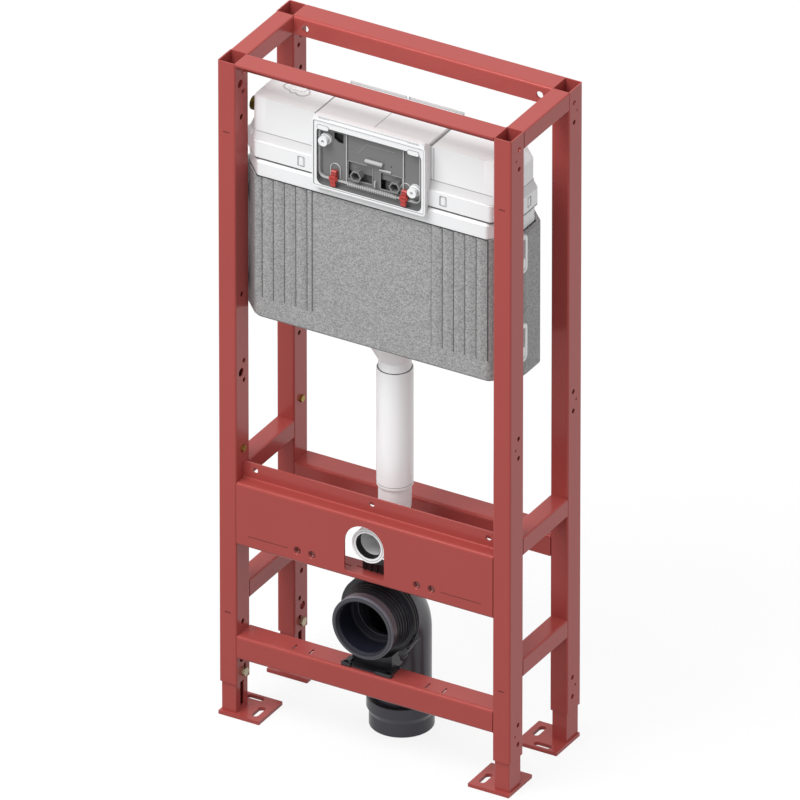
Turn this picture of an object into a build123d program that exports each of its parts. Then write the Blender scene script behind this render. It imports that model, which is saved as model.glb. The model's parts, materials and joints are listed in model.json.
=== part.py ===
from build123d import *
from math import cos, radians, sin, sqrt
import os

os.makedirs("parts", exist_ok=True)

# Steel frame, all lengths in millimetres
frame_width = 500.0
frame_depth = 212.0
post_length = 1060.0
post_width = 30.0
post_depth = 40.0
post_wall = 2.0
post_corner = 3.0
sheet = 3.0
sheet_bend = 2.0
rail_size = 30.0
rail_wall = 2.0
rail_corner = 2.5

# Telescoping feet
foot_extension = 50.0
leg_length = 260.0
leg_wall = 2.0
leg_corner = 1.5
leg_clearance = 0.5
leg_slot_width = 10.0
leg_slot_low = 12.0
leg_slot_high = 232.0
foot_size = 70.0
foot_thickness = 6.0
foot_front_overhang = 3.0
foot_back_inset = 2.0
foot_slot_width = 11.0
foot_slot_length = 30.0
foot_long_slot_inset = 15.5
foot_long_slot_setback = 26.0
foot_cross_slot_inset = 29.0
foot_cross_slot_setback = 10.0

# Bolts
clamp_bolt_rise = 15.0
clamp_bolt_radius = 4.0
clamp_bolt_flats = 13.0
clamp_bolt_head = 5.5
clamp_bolt_reach = 9.0
rail_bolt_drop = 661.0
rail_bolt_setback = 20.0
rail_bolt_radius = 4.0
rail_bolt_flats = 10.0
rail_bolt_head = 4.0
bolt_clearance = 0.5

# Hole groups in the posts, drilled as fine polygons
hole_sides = 12
hole_end_distance = 40.0
hole_group_pitch = 16.5
hole_setback = 16.0
pair_setback = 24.5
big_hole_radius = 7.0
pair_hole_radius = 4.0
dot_hole_radius = 2.0
single_hole_radius = 4.5
single_hole_setback = 19.0
single_hole_drops = (97.0, 398.0, 958.5)

# Rails by their heights above the lower ends of the posts, crossbar and plate by the waste's middle
crossbar_below_waste = 80.0
crossbar_height = 40.0
crossbar_slit_length = 15.0
crossbar_slit_width = 3.0
crossbar_slit_reaches = (100.0, 129.0)
lower_side_rail_rise = 132.0
upper_side_rail_rise = 340.0
back_rail_rise = 264.0
back_rail_height = 35.0
plate_above_waste = 77.0
plate_height = 107.0
plate_shelf = 25.0
plate_flange = 50.0
lip_height = 26.5
lip_hole_radius = 5.0
lip_hole_inset = 20.0
lip_hole_rise = 15.4
stud_height = 20.5
stud_radius = 6.0
stud_dimple = 0.9
stud_spacing_narrow = 180.0
stud_spacing_wide = 230.0
stud_collar_radius = 8.5
stud_collar_length = 5.0
cutout_width = 68.0
cutout_top_margin = 13.0
cutout_bottom_margin = 10.0
cutout_corner = 6.0
flange_slit_width = 3.5
flange_slit_length = 16.5
flange_slit_reach = 22.7
flange_slit_setback = 32.0
short_slit_length = 11.5
short_slit_reach = 43.7
short_slit_setback = 28.0
top_rail_web = 30.0
wall_hole_radius = 5.75
wall_hole_inset = 20.0

# Foam shell, set back from the front plane and dropped from the top of the posts
seat_gap = 0.3
shell_end_inset = 12.0
shell_setback = 22.0
shell_back_setback = 144.0
shell_front_cut = 39.4
shell_back_cut = 33.0
shell_corner = 15.0
shell_drop = 190.0
shell_height = 242.0
shell_wall = 7.0
shell_foot_chamfer = 5.0
groove_width = 12.4
groove_pitch = 19.2
groove_first_reach = 115.5
groove_count = 5
groove_depth = 3.0
groove_foot = 36.0
panel_half_width = 102.0
panel_depth = 1.5
side_clip_width = 31.0
side_clip_length = 62.0
side_clip_drops = (218.0, 367.6)
side_clip_corner = 8.0
side_clip_thickness = 3.5
side_clip_slot_width = 11.0
side_clip_slot_length = 33.0
side_clip_slot_offset = 11.0
side_clip_slot_shift = 3.0

# Tank with its band, lip and raised middle block
tank_wall = 3.0
tub_end_inset = 22.0
tub_front_cut = 33.0
tub_back_cut = 27.0
lip_drop = 163.0
lip_setback = 22.5
lip_chamfer = 5.0
tank_setback = 32.0
tank_back_setback = 143.0
tank_end_inset = 24.0
tank_front_cut = 36.0
tank_back_cut = 34.0
tank_corner = 8.0
tank_drop = 63.0
hood_drop = 85.0
hood_end_run = 18.0
hood_back_run = 14.0
hood_front_cut = 20.0
hood_back_cut = 27.0
skirt_drop = 120.5
skirt_proud = 4.5
band_setback = 24.0
band_end_inset = 18.0
band_cut = 31.6
band_drop = 134.0
band_groove_height = 2.5
band_groove_depth = 5.0
block_half_width = 95.0
block_drop = 58.0
block_setback = 22.2
block_back_setback = 132.0
block_rim_height = 3.0
block_rim_width = 2.5
block_groove_width = 2.5
block_groove_depth = 1.5
clip_window_width = 11.5
clip_window_height = 16.0
clip_window_reach = 121.0
clip_window_end_setback = 86.5
clip_window_depth = 1.5
clip_tongue_width = 6.0
nipple_setback = 80.0
nipple_drop = 106.0
nipple_radius = 10.5
nipple_bore = 7.0
nipple_length = 10.0

# Service opening in the block
service_setback = 12.5
service_half_width = 94.0
service_drop = 53.0
service_height = 120.6
service_side_rim = 6.0
service_top_rim = 18.7
service_bottom_rim = 10.6
service_corner = 6.0
service_border = 2.5
service_step = 1.2
opening_corner = 10.0
corner_tab_width = 19.0
corner_tab_height = 7.0
corner_tab_reach = 77.0
corner_tab_hang = 4.0
corner_tab_proud = 0.8
corner_tab_depth = 4.0

# Splash cover and what stands on it, by reaches from the middle and drops from the top
cover_setback = 20.5
cover_thickness = 3.0
cover_border = 4.6
cover_foot_border = 7.0
cover_recess = 1.0
left_window = (-39.0, 3.0, 121.0, 151.0)
right_window = (16.0, 54.0, 125.0, 154.0)
spyhole = ((-63.0, 80.0), (-47.0, 80.0), (-47.0, 96.0), (-55.0, 96.0), (-63.0, 91.0))
cover_rib_reaches = (-41.0, 56.0)
cover_rib_width = 1.6
grip_low = -8.0
grip_high = 21.0
grip_drop = 113.0
grip_height = 4.0
grip_proud = 5.0
knob_reach = 75.7
knob_drops = {"left": 93.8, "right": 139.0}
knob_radius = 7.7
knob_length = 12.5
knob_bore = 2.5
knob_foot_radius = 9.8
knob_foot_height = 3.0
latch_reach = 60.0
latch_width = 11.0
latch_lug_width = 15.0
latch_lug_top = 147.0
latch_lug_bottom = 155.0
latch_head_drop = 136.0
latch_front_setback = 10.5
latch_toe = 3.5
latch_tooth = 1.5
latch_lug_front = 12.5
latch_teeth = 3

# Flush valves behind the cover
valve_bar_setback = 24.0
valve_bar_depth = 6.0
valve_bar_drop = 108.0
valve_bar_height = 12.0
valve_setback = 32.0
valve_depth = 26.0
valve_foot_drop = 160.0
valve_spans = ((-35.5, 1.0), (19.0, 54.0))
push_tube_spots = ((-23.1, 139.3), (43.2, 137.5))
push_tube_flats = 16.0
push_tube_wall = 1.5
push_tube_setback = 15.0

# Flush pipe
flush_setback = 91.6
flush_height = 55.2
neck_radius = 25.0
neck_shoulder_radius = 30.7
neck_top_radius = 41.0
neck_shoulder_height = 10.0
neck_cone_height = 19.0
neck_collar_height = 18.0
neck_length = 78.0
pipe_wall = 2.0
sleeve_radius = 27.8
sleeve_wall = 1.5
sleeve_gap = 15.0
sleeve_length = 198.0
sleeve_seat = 3.0
pipe_radius = 25.15
pipe_clearance = 0.3
flush_bend_radius = 45.0
flush_ring_setback = 12.0
flush_ring_radius = 28.0
flush_ring_length = 14.0
flush_bore_radius = 21.5
bore_runs = 4
flush_holder_half_width = 20.0
flush_holder_setback = 30.0
flush_holder_depth = 16.0
flush_holder_rise = 14.0
flush_holder_ribs = 4
flush_holder_rib_width = 3.0
flush_holder_rib_proud = 2.0

# Waste
mouth_reach = 7.0
waste_rise = 165.0
mouth_radius = 50.7
mouth_bore_radius = 45.0
mouth_depth = 46.0
mouth_lip_length = 18.0
mouth_waist_radius = 49.0
mouth_collar_radius = 55.0
waste_radius = 45.0
waste_wall = 4.0
waste_setback = 112.0
waste_bend_radius = 57.0
waste_leg_rise = 34.0
strap_radius = 62.7
strap_setback = 40.0
strap_width = 15.0
lever_angle = -35.0
lever_length = 34.0
lever_width = 10.0
lever_thickness = 6.0
holder_half_width = 40.0
holder_setback = 7.0
holder_base = 3.0
holder_rail_width = 8.0
holder_rail_height = 3.0
saddle_half_width = 34.0
saddle_setback = 24.0
saddle_depth = 32.0
saddle_height = 46.0
adapter_radius = 49.4
adapter_collar_radius = 53.3
adapter_wall = 3.0
adapter_top_height = 50.0
adapter_collar_height = 17.0
adapter_taper_height = 8.4
adapter_floor_gap = 2.0

# Levels and planes that follow from the sizes
cut_slack = 1.0
front = -(frame_depth - mouth_reach) / 2
back = front + frame_depth
mid_y = (front + back) / 2
post_bottom = foot_thickness + foot_extension
top = post_bottom + post_length
inner_half = frame_width / 2 - post_width
rail_span = 2 * inner_half
side_span = frame_depth - 2 * post_depth
flush_y = front + flush_setback
waste_y = front + waste_setback
waste_z = post_bottom + waste_rise
crossbar_top = waste_z - crossbar_below_waste
crossbar_bottom = crossbar_top - crossbar_height
leg_width = post_width - 2 * post_wall - 2 * leg_clearance
leg_depth = post_depth - 2 * post_wall - 2 * leg_clearance
plate_bottom = waste_z + plate_above_waste
plate_top = plate_bottom + plate_height
flush_z = plate_bottom + flush_height
shell_half = frame_width / 2 - shell_end_inset
shell_top = top - shell_drop
shell_bottom = shell_top - shell_height
tub_half = frame_width / 2 - tub_end_inset
tank_half = frame_width / 2 - tank_end_inset
band_half = frame_width / 2 - band_end_inset

SIDES = {"left": -1, "right": 1}
ENDS = {"front": -1, "back": 1}


def save(piece, label):
    piece.part.label = label
    export_step(piece.part, f"parts/{label}.step")


def side_plane(x):
    """A plane across the width at x, with its own axes along Y and Z."""
    return Plane(origin=(x, 0, 0), x_dir=(0, 1, 0), z_dir=(1, 0, 0))


def front_plane(y):
    """A plane across the depth at y, with its own axes along X and Z and its normal to the front."""
    return Plane(origin=(0, y, 0), x_dir=(1, 0, 0), z_dir=(0, -1, 0))


def drilled(radius, *spots):
    """Small round holes with few sides, each with a flat at the top."""
    with BuildSketch() as holes:
        with Locations(*spots):
            RegularPolygon(radius, hole_sides)
    return holes.sketch


def cistern_plan(half, front_y, back_y, front_cut, back_cut, corner, inset=0.0):
    """A plan of the cistern, or of its inside: a rectangle with corners cut at 45 degrees for the posts."""
    cut_loss = inset * (2 - sqrt(2))
    half -= inset
    front_y += inset
    back_y -= inset
    front_cut -= cut_loss
    back_cut -= cut_loss
    with BuildSketch() as plan:
        Polygon(
            (front_cut - half, front_y),
            (half - front_cut, front_y),
            (half, front_y + front_cut),
            (half, back_y - back_cut),
            (half - back_cut, back_y),
            (back_cut - half, back_y),
            (-half, back_y - back_cut),
            (-half, front_y + front_cut),
            align=None,
        )
        fillet(plan.vertices(), corner)
    return plan.sketch


def make_post(label, side, end):
    """A rectangular tube, open at both ends, with its groups of holes."""
    outer_y = mid_y + end * frame_depth / 2
    groups = (top - hole_end_distance, (post_bottom + top) / 2, post_bottom + hole_end_distance)
    pairs = [
        (outer_y - end * pair_setback, z + way * hole_group_pitch) for z in groups for way in (-1, 1)
    ]
    singles = [(outer_y - end * single_hole_setback, top - drop) for drop in single_hole_drops]
    with BuildPart() as post:
        with BuildSketch(Plane.XY.offset(post_bottom)):
            with Locations((side * (frame_width - post_width) / 2, outer_y - end * post_depth / 2)):
                RectangleRounded(post_width, post_depth, post_corner)
                Rectangle(post_width - 2 * post_wall, post_depth - 2 * post_wall, mode=Mode.SUBTRACT)
        extrude(amount=post_length)
        with BuildSketch(side_plane(side * (inner_half - cut_slack))):
            add(drilled(big_hole_radius, *[(outer_y - end * hole_setback, z) for z in groups]))
            add(drilled(pair_hole_radius, *pairs))
            add(drilled(single_hole_radius, *singles))
            add(
                drilled(
                    clamp_bolt_radius + 2 * bolt_clearance,
                    (outer_y - end * post_depth / 2, post_bottom + clamp_bolt_rise),
                )
            )
            add(
                drilled(
                    rail_bolt_radius + 2 * bolt_clearance,
                    (outer_y - end * rail_bolt_setback, top - rail_bolt_drop),
                )
            )
        extrude(amount=side * (post_wall + 2 * cut_slack), mode=Mode.SUBTRACT)
        with BuildSketch(side_plane(side * (frame_width / 2 + cut_slack))):
            add(drilled(pair_hole_radius, *pairs))
            add(drilled(dot_hole_radius, *[(outer_y - end * hole_setback, z) for z in groups]))
        extrude(amount=-side * (post_wall + 2 * cut_slack), mode=Mode.SUBTRACT)
    save(post, label)


def make_side_rail(label, side, low):
    """A square tube that joins a front post to the back post behind it."""
    with BuildPart() as rail:
        with BuildSketch(front_plane(front + post_depth)):
            with Locations((side * (frame_width / 2 - rail_size / 2), low + rail_size / 2)):
                RectangleRounded(rail_size, rail_size, rail_corner)
                Rectangle(rail_size - 2 * rail_wall, rail_size - 2 * rail_wall, mode=Mode.SUBTRACT)
        extrude(amount=-side_span)
    save(rail, label)


def folded_section(points):
    """The section of a folded sheet, from the middle line of the sheet."""
    with BuildSketch(side_plane(-inner_half)) as section:
        with BuildLine():
            FilletPolyline(*points, radius=sheet_bend + sheet / 2)
        trace(line_width=sheet)
    return section.sketch


def bore_corners(center_y, center_z, radius, first, last):
    """Corners of the straight runs in which a bore follows a quarter bend between two angles."""
    step = (last - first) / bore_runs
    reach = radius / cos(radians(step / 2))
    angles = [radians(first + (index + 0.5) * step) for index in range(bore_runs)]
    return [(0, center_y + reach * cos(angle), center_z + reach * sin(angle)) for angle in angles]


def make_foot(label, side, end):
    """A leg that slides in its post, on a slotted plate."""
    outer_x = side * frame_width / 2
    leg_x = side * (frame_width - post_width) / 2
    leg_y = mid_y + end * (frame_depth - post_depth) / 2
    if end < 0:
        plate_edge = front - foot_front_overhang
    else:
        plate_edge = back - foot_back_inset
    long_slot = (
        outer_x - side * (foot_size - foot_long_slot_inset),
        plate_edge - end * foot_long_slot_setback,
    )
    cross_slot = (
        outer_x - side * foot_cross_slot_inset,
        plate_edge - end * (foot_size - foot_cross_slot_setback),
    )
    with BuildPart() as foot:
        with BuildSketch(Plane.XY):
            with Locations((outer_x - side * foot_size / 2, plate_edge - end * foot_size / 2)):
                Rectangle(foot_size, foot_size)
            with Locations(long_slot):
                SlotOverall(foot_slot_length, foot_slot_width, rotation=90, mode=Mode.SUBTRACT)
            with Locations(cross_slot):
                SlotOverall(foot_slot_length, foot_slot_width, mode=Mode.SUBTRACT)
        extrude(amount=foot_thickness)
        with BuildSketch(Plane.XY.offset(foot_thickness)):
            with Locations((leg_x, leg_y)):
                RectangleRounded(leg_width, leg_depth, leg_corner)
                Rectangle(leg_width - 2 * leg_wall, leg_depth - 2 * leg_wall, mode=Mode.SUBTRACT)
        extrude(amount=leg_length)
        with BuildSketch(side_plane(leg_x)):
            with Locations((leg_y, (leg_slot_low + leg_slot_high) / 2)):
                Rectangle(leg_slot_width, leg_slot_high - leg_slot_low)
        extrude(amount=-side * leg_width, mode=Mode.SUBTRACT)
    save(foot, label)


def make_inner_bolts(spots, flats, head, shank_radius, shank):
    """Hexagon bolts with their heads on the inner faces of the posts."""
    with BuildPart() as bolts:
        for side in SIDES.values():
            with BuildSketch(side_plane(side * inner_half)):
                with Locations(*spots):
                    RegularPolygon(flats / 2, 6, major_radius=False)
            extrude(amount=-side * head)
            with BuildSketch(side_plane(side * inner_half)):
                add(drilled(shank_radius, *spots))
            extrude(amount=side * shank)
    return bolts


for side_name, side in SIDES.items():
    for end_name, end in ENDS.items():
        make_post(f"post_{end_name}_{side_name}", side, end)
        make_foot(f"foot_{end_name}_{side_name}", side, end)
    make_side_rail(f"top_rail_{side_name}", side, top - rail_size)
    make_side_rail(f"side_rail_upper_{side_name}", side, post_bottom + upper_side_rail_rise)
    make_side_rail(f"side_rail_lower_{side_name}", side, post_bottom + lower_side_rail_rise)

# Clamp bolts of the feet, and the brass bolts of the cistern carrier
clamp_spots = [
    (mid_y + end * (frame_depth - post_depth) / 2, post_bottom + clamp_bolt_rise) for end in ENDS.values()
]
clamp_bolts = make_inner_bolts(
    clamp_spots, clamp_bolt_flats, clamp_bolt_head, clamp_bolt_radius, clamp_bolt_reach
)
save(clamp_bolts, "clamp_bolts")

rail_bolt_spots = [
    (mid_y + end * (frame_depth / 2 - rail_bolt_setback), top - rail_bolt_drop) for end in ENDS.values()
]
rail_bolts = make_inner_bolts(
    rail_bolt_spots, rail_bolt_flats, rail_bolt_head, rail_bolt_radius, post_wall + rail_bolt_head
)
save(rail_bolts, "rail_bolts")

# Top front rail: an angle with its web at the back
with BuildPart() as top_rail_front:
    extrude(
        folded_section(
            [
                (front, top - sheet / 2),
                (front + post_depth - sheet / 2, top - sheet / 2),
                (front + post_depth - sheet / 2, top - top_rail_web),
            ]
        ),
        amount=rail_span,
    )
save(top_rail_front, "top_rail_front")

# Top back rail: an angle with its web at the front and two wall holes
wall_hole_reach = inner_half - wall_hole_inset
wall_hole_z = top - (top_rail_web + sheet) / 2
with BuildPart() as top_rail_back:
    extrude(
        folded_section(
            [
                (back, top - sheet / 2),
                (back - post_depth + sheet / 2, top - sheet / 2),
                (back - post_depth + sheet / 2, top - top_rail_web),
            ]
        ),
        amount=rail_span,
    )
    with BuildSketch(front_plane(back - post_depth - cut_slack)):
        with Locations((-wall_hole_reach, wall_hole_z), (wall_hole_reach, wall_hole_z)):
            Circle(wall_hole_radius)
    extrude(amount=-(sheet + 2 * cut_slack), mode=Mode.SUBTRACT)
save(top_rail_back, "top_rail_back")

# Middle back rail
back_rail_top = post_bottom + back_rail_rise + back_rail_height
with BuildPart() as back_rail_middle:
    extrude(
        folded_section(
            [
                (back, back_rail_top - sheet / 2),
                (back - post_depth + sheet / 2, back_rail_top - sheet / 2),
                (back - post_depth + sheet / 2, post_bottom + back_rail_rise),
            ]
        ),
        amount=rail_span,
    )
save(back_rail_middle, "back_rail_middle")

# Mounting plate: a front sheet with a shelf and lip above and a flange below
stud_spots = [
    (sign * spacing / 2, plate_bottom + stud_height)
    for spacing in (stud_spacing_narrow, stud_spacing_wide)
    for sign in (-1, 1)
]
cutout_top = plate_top - cutout_top_margin
cutout_bottom = plate_bottom + cutout_bottom_margin
arch_z = cutout_top - cutout_width / 2
lip_hole_reach = inner_half - lip_hole_inset
with BuildPart() as mounting_plate:
    extrude(
        folded_section(
            [
                (front + plate_shelf - sheet / 2, plate_top + lip_height),
                (front + plate_shelf - sheet / 2, plate_top - sheet / 2),
                (front + sheet / 2, plate_top - sheet / 2),
                (front + sheet / 2, plate_bottom + sheet / 2),
                (front + plate_flange, plate_bottom + sheet / 2),
            ]
        ),
        amount=rail_span,
    )
    with BuildSketch(front_plane(front + sheet)):
        with Locations(*stud_spots):
            Circle(stud_collar_radius)
    extrude(amount=-stud_collar_length)
    with BuildSketch(front_plane(front - cut_slack)):
        with Locations(*stud_spots):
            Circle(stud_radius)
    extrude(amount=-(sheet + stud_collar_length + 2 * cut_slack), mode=Mode.SUBTRACT)
    stud_edges = mounting_plate.edges().filter_by(GeomType.CIRCLE).group_by(Axis.Y)[0]
    chamfer(stud_edges, stud_dimple)
    with BuildSketch(front_plane(front - cut_slack)) as cutout:
        with Locations((0, arch_z)):
            Circle(cutout_width / 2)
        with Locations((0, (arch_z + cutout_bottom) / 2)):
            Rectangle(cutout_width, arch_z - cutout_bottom)
        fillet(cutout.vertices().group_by(Axis.Y)[0], cutout_corner)
    extrude(amount=-(sheet + 2 * cut_slack), mode=Mode.SUBTRACT)
    with BuildSketch(front_plane(front + plate_shelf - sheet - cut_slack)):
        add(
            drilled(
                lip_hole_radius,
                *[(x, plate_top + lip_hole_rise) for x in (-lip_hole_reach, 0, lip_hole_reach)],
            )
        )
    extrude(amount=-(sheet + 2 * cut_slack), mode=Mode.SUBTRACT)
    with BuildSketch(Plane.XY.offset(plate_bottom - cut_slack)):
        for sign in SIDES.values():
            with Locations((sign * flange_slit_reach, front + flange_slit_setback)):
                Rectangle(flange_slit_length, flange_slit_width)
            with Locations((sign * short_slit_reach, front + short_slit_setback)):
                Rectangle(short_slit_length, flange_slit_width)
    extrude(amount=sheet + 2 * cut_slack, mode=Mode.SUBTRACT)
save(mounting_plate, "mounting_plate")

# Lower crossbar: a channel that is open to the back
with BuildPart() as lower_crossbar:
    extrude(
        folded_section(
            [
                (front + post_depth, crossbar_top - sheet / 2),
                (front + sheet / 2, crossbar_top - sheet / 2),
                (front + sheet / 2, crossbar_bottom + sheet / 2),
                (front + post_depth, crossbar_bottom + sheet / 2),
            ]
        ),
        amount=rail_span,
    )
    with BuildSketch(Plane.XY.offset(crossbar_top + cut_slack)):
        with Locations(
            *[(sign * reach, front + hole_setback) for reach in crossbar_slit_reaches for sign in (-1, 1)]
        ):
            Rectangle(crossbar_slit_width, crossbar_slit_length)
    extrude(amount=-(sheet + 2 * cut_slack), mode=Mode.SUBTRACT)
save(lower_crossbar, "lower_crossbar")

# Foam shell round the lower tank: a tub with a grooved front
shell_front = front + shell_setback
shell_back = front + shell_back_setback
shell_plan = (shell_half, shell_front, shell_back, shell_front_cut, shell_back_cut)
groove_bottom = shell_bottom + groove_foot
groove_z = (groove_bottom + shell_top + cut_slack) / 2
groove_height = shell_top + cut_slack - groove_bottom
with BuildPart() as insulation_shell:
    with BuildSketch(Plane.XY.offset(shell_bottom)):
        add(cistern_plan(*shell_plan, shell_corner))
    extrude(amount=shell_height)
    chamfer(insulation_shell.edges().group_by(Axis.Z)[0], shell_foot_chamfer)
    with BuildSketch(Plane.XY.offset(shell_bottom + shell_wall)):
        add(cistern_plan(*shell_plan, shell_corner - shell_wall, inset=shell_wall))
    extrude(amount=shell_height, mode=Mode.SUBTRACT)
    with BuildSketch(Plane.XY.offset(shell_bottom - cut_slack)):
        with Locations((0, flush_y)):
            Circle(neck_top_radius + seat_gap)
    extrude(amount=shell_wall + 2 * cut_slack, mode=Mode.SUBTRACT)
    with BuildSketch(front_plane(shell_front - cut_slack)):
        for index in range(groove_count):
            reach = groove_first_reach + index * groove_pitch
            with Locations((-reach, groove_z), (reach, groove_z)):
                Rectangle(groove_width, groove_height)
    extrude(amount=-(groove_depth + cut_slack), mode=Mode.SUBTRACT)
    with BuildSketch(front_plane(shell_front - cut_slack)):
        with Locations((0, groove_z)):
            Rectangle(2 * panel_half_width, groove_height)
    extrude(amount=-(panel_depth + cut_slack), mode=Mode.SUBTRACT)
save(insulation_shell, "insulation_shell")

# Slotted clips on the ends of the shell, which reach to the backs of the front posts
side_clip_y = front + post_depth + side_clip_width / 2
slot_y = side_clip_y + side_clip_slot_shift
clip_spots = [(side_clip_y, top - drop) for drop in side_clip_drops]
slot_spots = [(slot_y, top - drop + side_clip_slot_offset) for drop in side_clip_drops]
with BuildPart() as side_clips:
    for side in SIDES.values():
        with BuildSketch(side_plane(side * shell_half)):
            with Locations(*clip_spots):
                RectangleRounded(side_clip_width, side_clip_length, side_clip_corner)
            with Locations(*slot_spots):
                Rectangle(side_clip_slot_width, side_clip_slot_length, mode=Mode.SUBTRACT)
        extrude(amount=side * side_clip_thickness)
save(side_clips, "side_clips")

# Lower tank: an open tub in the shell with a lip over the shell's front rim
tub_front = shell_front + shell_wall + seat_gap
tub_back = shell_back - shell_wall - seat_gap
tub_plan = (tub_half, tub_front, tub_back, tub_front_cut, tub_back_cut)
tub_bottom = shell_bottom + shell_wall + seat_gap
lip_top = top - lip_drop
lip_plan = (tub_half, front + lip_setback, tub_back, tub_front_cut, tub_back_cut)
with BuildPart() as tank_lower:
    with BuildSketch(Plane.XY.offset(tub_bottom)):
        add(cistern_plan(*tub_plan, tank_corner))
    extrude(amount=lip_top - tub_bottom)
    with BuildSketch(Plane.XY.offset(shell_top + seat_gap)):
        add(cistern_plan(*lip_plan, tank_corner))
    extrude(amount=lip_top - shell_top - seat_gap)
    chamfer(tank_lower.edges().group_by(Axis.Z)[-1], lip_chamfer)
    with BuildSketch(Plane.XY.offset(tub_bottom + tank_wall)):
        add(cistern_plan(*tub_plan, tank_corner - tank_wall, inset=tank_wall))
    extrude(amount=lip_top - tub_bottom, mode=Mode.SUBTRACT)
    with BuildSketch(Plane.XY.offset(tub_bottom - cut_slack)):
        with Locations((0, flush_y)):
            Circle(neck_radius - pipe_wall)
    extrude(amount=tank_wall + 2 * cut_slack, mode=Mode.SUBTRACT)
save(tank_lower, "tank_lower")

# Upper tank: a hood with a skirt, a band and a raised middle block, open at the front for service
tank_front = front + tank_setback
tank_back = front + tank_back_setback
tank_top = top - tank_drop
wall_plan = (tank_half, tank_front, tank_back, tank_front_cut, tank_back_cut)
hood_plan = (tank_half - hood_end_run, tank_front, tank_back - hood_back_run, hood_front_cut, hood_back_cut)
hood_z = top - hood_drop
skirt_top = top - skirt_drop
skirt_plan = (
    tank_half + skirt_proud,
    tank_front - skirt_proud,
    tank_back,
    tank_front_cut,
    tank_back_cut,
)
block_top = top - block_drop
block_front = front + block_setback
block_back = front + block_back_setback
band_top = top - band_drop
band_bottom = lip_top + band_groove_height
band_front = front + band_setback
band_plan = (band_half, band_front, tank_back, band_cut, band_cut)
service_z = top - service_drop - service_height / 2
opening_half = service_half_width - service_side_rim
opening_height = service_height - service_top_rim - service_bottom_rim
opening_top = top - service_drop - service_top_rim
opening_bottom = opening_top - opening_height
opening_z = opening_top - opening_height / 2
clip_z = (band_top + band_bottom) / 2
block_groove_reach = block_half_width + block_groove_width / 2
with BuildPart() as tank_upper:
    with BuildSketch(Plane.XY.offset(lip_top)):
        add(cistern_plan(*band_plan, tank_corner, inset=band_groove_depth))
    extrude(amount=band_groove_height)
    with BuildSketch(Plane.XY.offset(band_bottom)):
        add(cistern_plan(*band_plan, tank_corner))
    extrude(amount=band_top - band_bottom)
    with BuildSketch(Plane.XY.offset(lip_top)):
        add(cistern_plan(*wall_plan, tank_corner))
    extrude(amount=hood_z - lip_top)
    with BuildSketch(Plane.XY.offset(band_top)):
        add(cistern_plan(*skirt_plan, tank_corner))
    with BuildSketch(Plane.XY.offset(skirt_top)):
        add(cistern_plan(*wall_plan, tank_corner))
    loft(ruled=True)
    with BuildSketch(Plane.XY.offset(hood_z)):
        add(cistern_plan(*wall_plan, tank_corner))
    with BuildSketch(Plane.XY.offset(tank_top)):
        add(cistern_plan(*hood_plan, tank_corner))
    loft(ruled=True)
    with BuildSketch(Plane.XY.offset(tank_top)):
        with Locations(
            *[(sign * block_groove_reach, (tank_front + tank_back) / 2) for sign in SIDES.values()]
        ):
            Rectangle(block_groove_width, tank_back - tank_front)
    extrude(amount=-block_groove_depth, mode=Mode.SUBTRACT)
    with BuildSketch(front_plane(tank_front)):
        with Locations(
            *[(sign * block_groove_reach, (tank_top + skirt_top) / 2) for sign in SIDES.values()]
        ):
            Rectangle(block_groove_width, tank_top - skirt_top)
    extrude(amount=-block_groove_depth, mode=Mode.SUBTRACT)
    with BuildSketch(Plane.XY.offset(lip_top)):
        with Locations((0, (block_front + block_back) / 2)):
            Rectangle(2 * block_half_width, block_back - block_front)
    extrude(amount=block_top - lip_top)
    with BuildSketch(Plane.XY.offset(block_top)):
        with Locations((0, block_back - block_rim_width / 2)):
            Rectangle(2 * block_half_width, block_rim_width)
    extrude(amount=block_rim_height)
    with BuildSketch(Plane.XY.offset(lip_top - cut_slack)):
        add(cistern_plan(*wall_plan, tank_corner - tank_wall, inset=tank_wall))
    extrude(amount=hood_z - lip_top - tank_wall, mode=Mode.SUBTRACT)
    with BuildSketch(Plane.XY.offset(lip_top - cut_slack)):
        add(cistern_plan(*hood_plan, tank_corner - tank_wall, inset=2 * tank_wall))
    extrude(amount=tank_top - lip_top - tank_wall, mode=Mode.SUBTRACT)
    with BuildSketch(front_plane(block_front - cut_slack)):
        with Locations((0, opening_z)):
            RectangleRounded(2 * opening_half, opening_height, opening_corner)
    extrude(amount=-(tank_front - block_front + 2 * tank_wall), mode=Mode.SUBTRACT)
    with BuildSketch(front_plane(band_front - cut_slack)):
        with Locations((-clip_window_reach, clip_z), (clip_window_reach, clip_z)):
            Rectangle(clip_window_width, clip_window_height)
            Rectangle(clip_tongue_width, clip_window_height - 2 * clip_window_depth, mode=Mode.SUBTRACT)
    extrude(amount=-(clip_window_depth + cut_slack), mode=Mode.SUBTRACT)
    for side in SIDES.values():
        with BuildSketch(side_plane(side * (band_half + cut_slack))):
            with Locations((front + clip_window_end_setback, clip_z)):
                Rectangle(clip_window_width, clip_window_height)
                Rectangle(
                    clip_tongue_width, clip_window_height - 2 * clip_window_depth, mode=Mode.SUBTRACT
                )
        extrude(amount=-side * (clip_window_depth + cut_slack), mode=Mode.SUBTRACT)
save(tank_upper, "tank_upper")

# Brass inlet nipple in the left end of the tank
with BuildPart() as inlet_nipple:
    with BuildSketch(side_plane(-tank_half)):
        with Locations((front + nipple_setback, top - nipple_drop)):
            Circle(nipple_radius)
            Circle(nipple_bore, mode=Mode.SUBTRACT)
    extrude(amount=-nipple_length)
save(inlet_nipple, "inlet_nipple")

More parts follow.
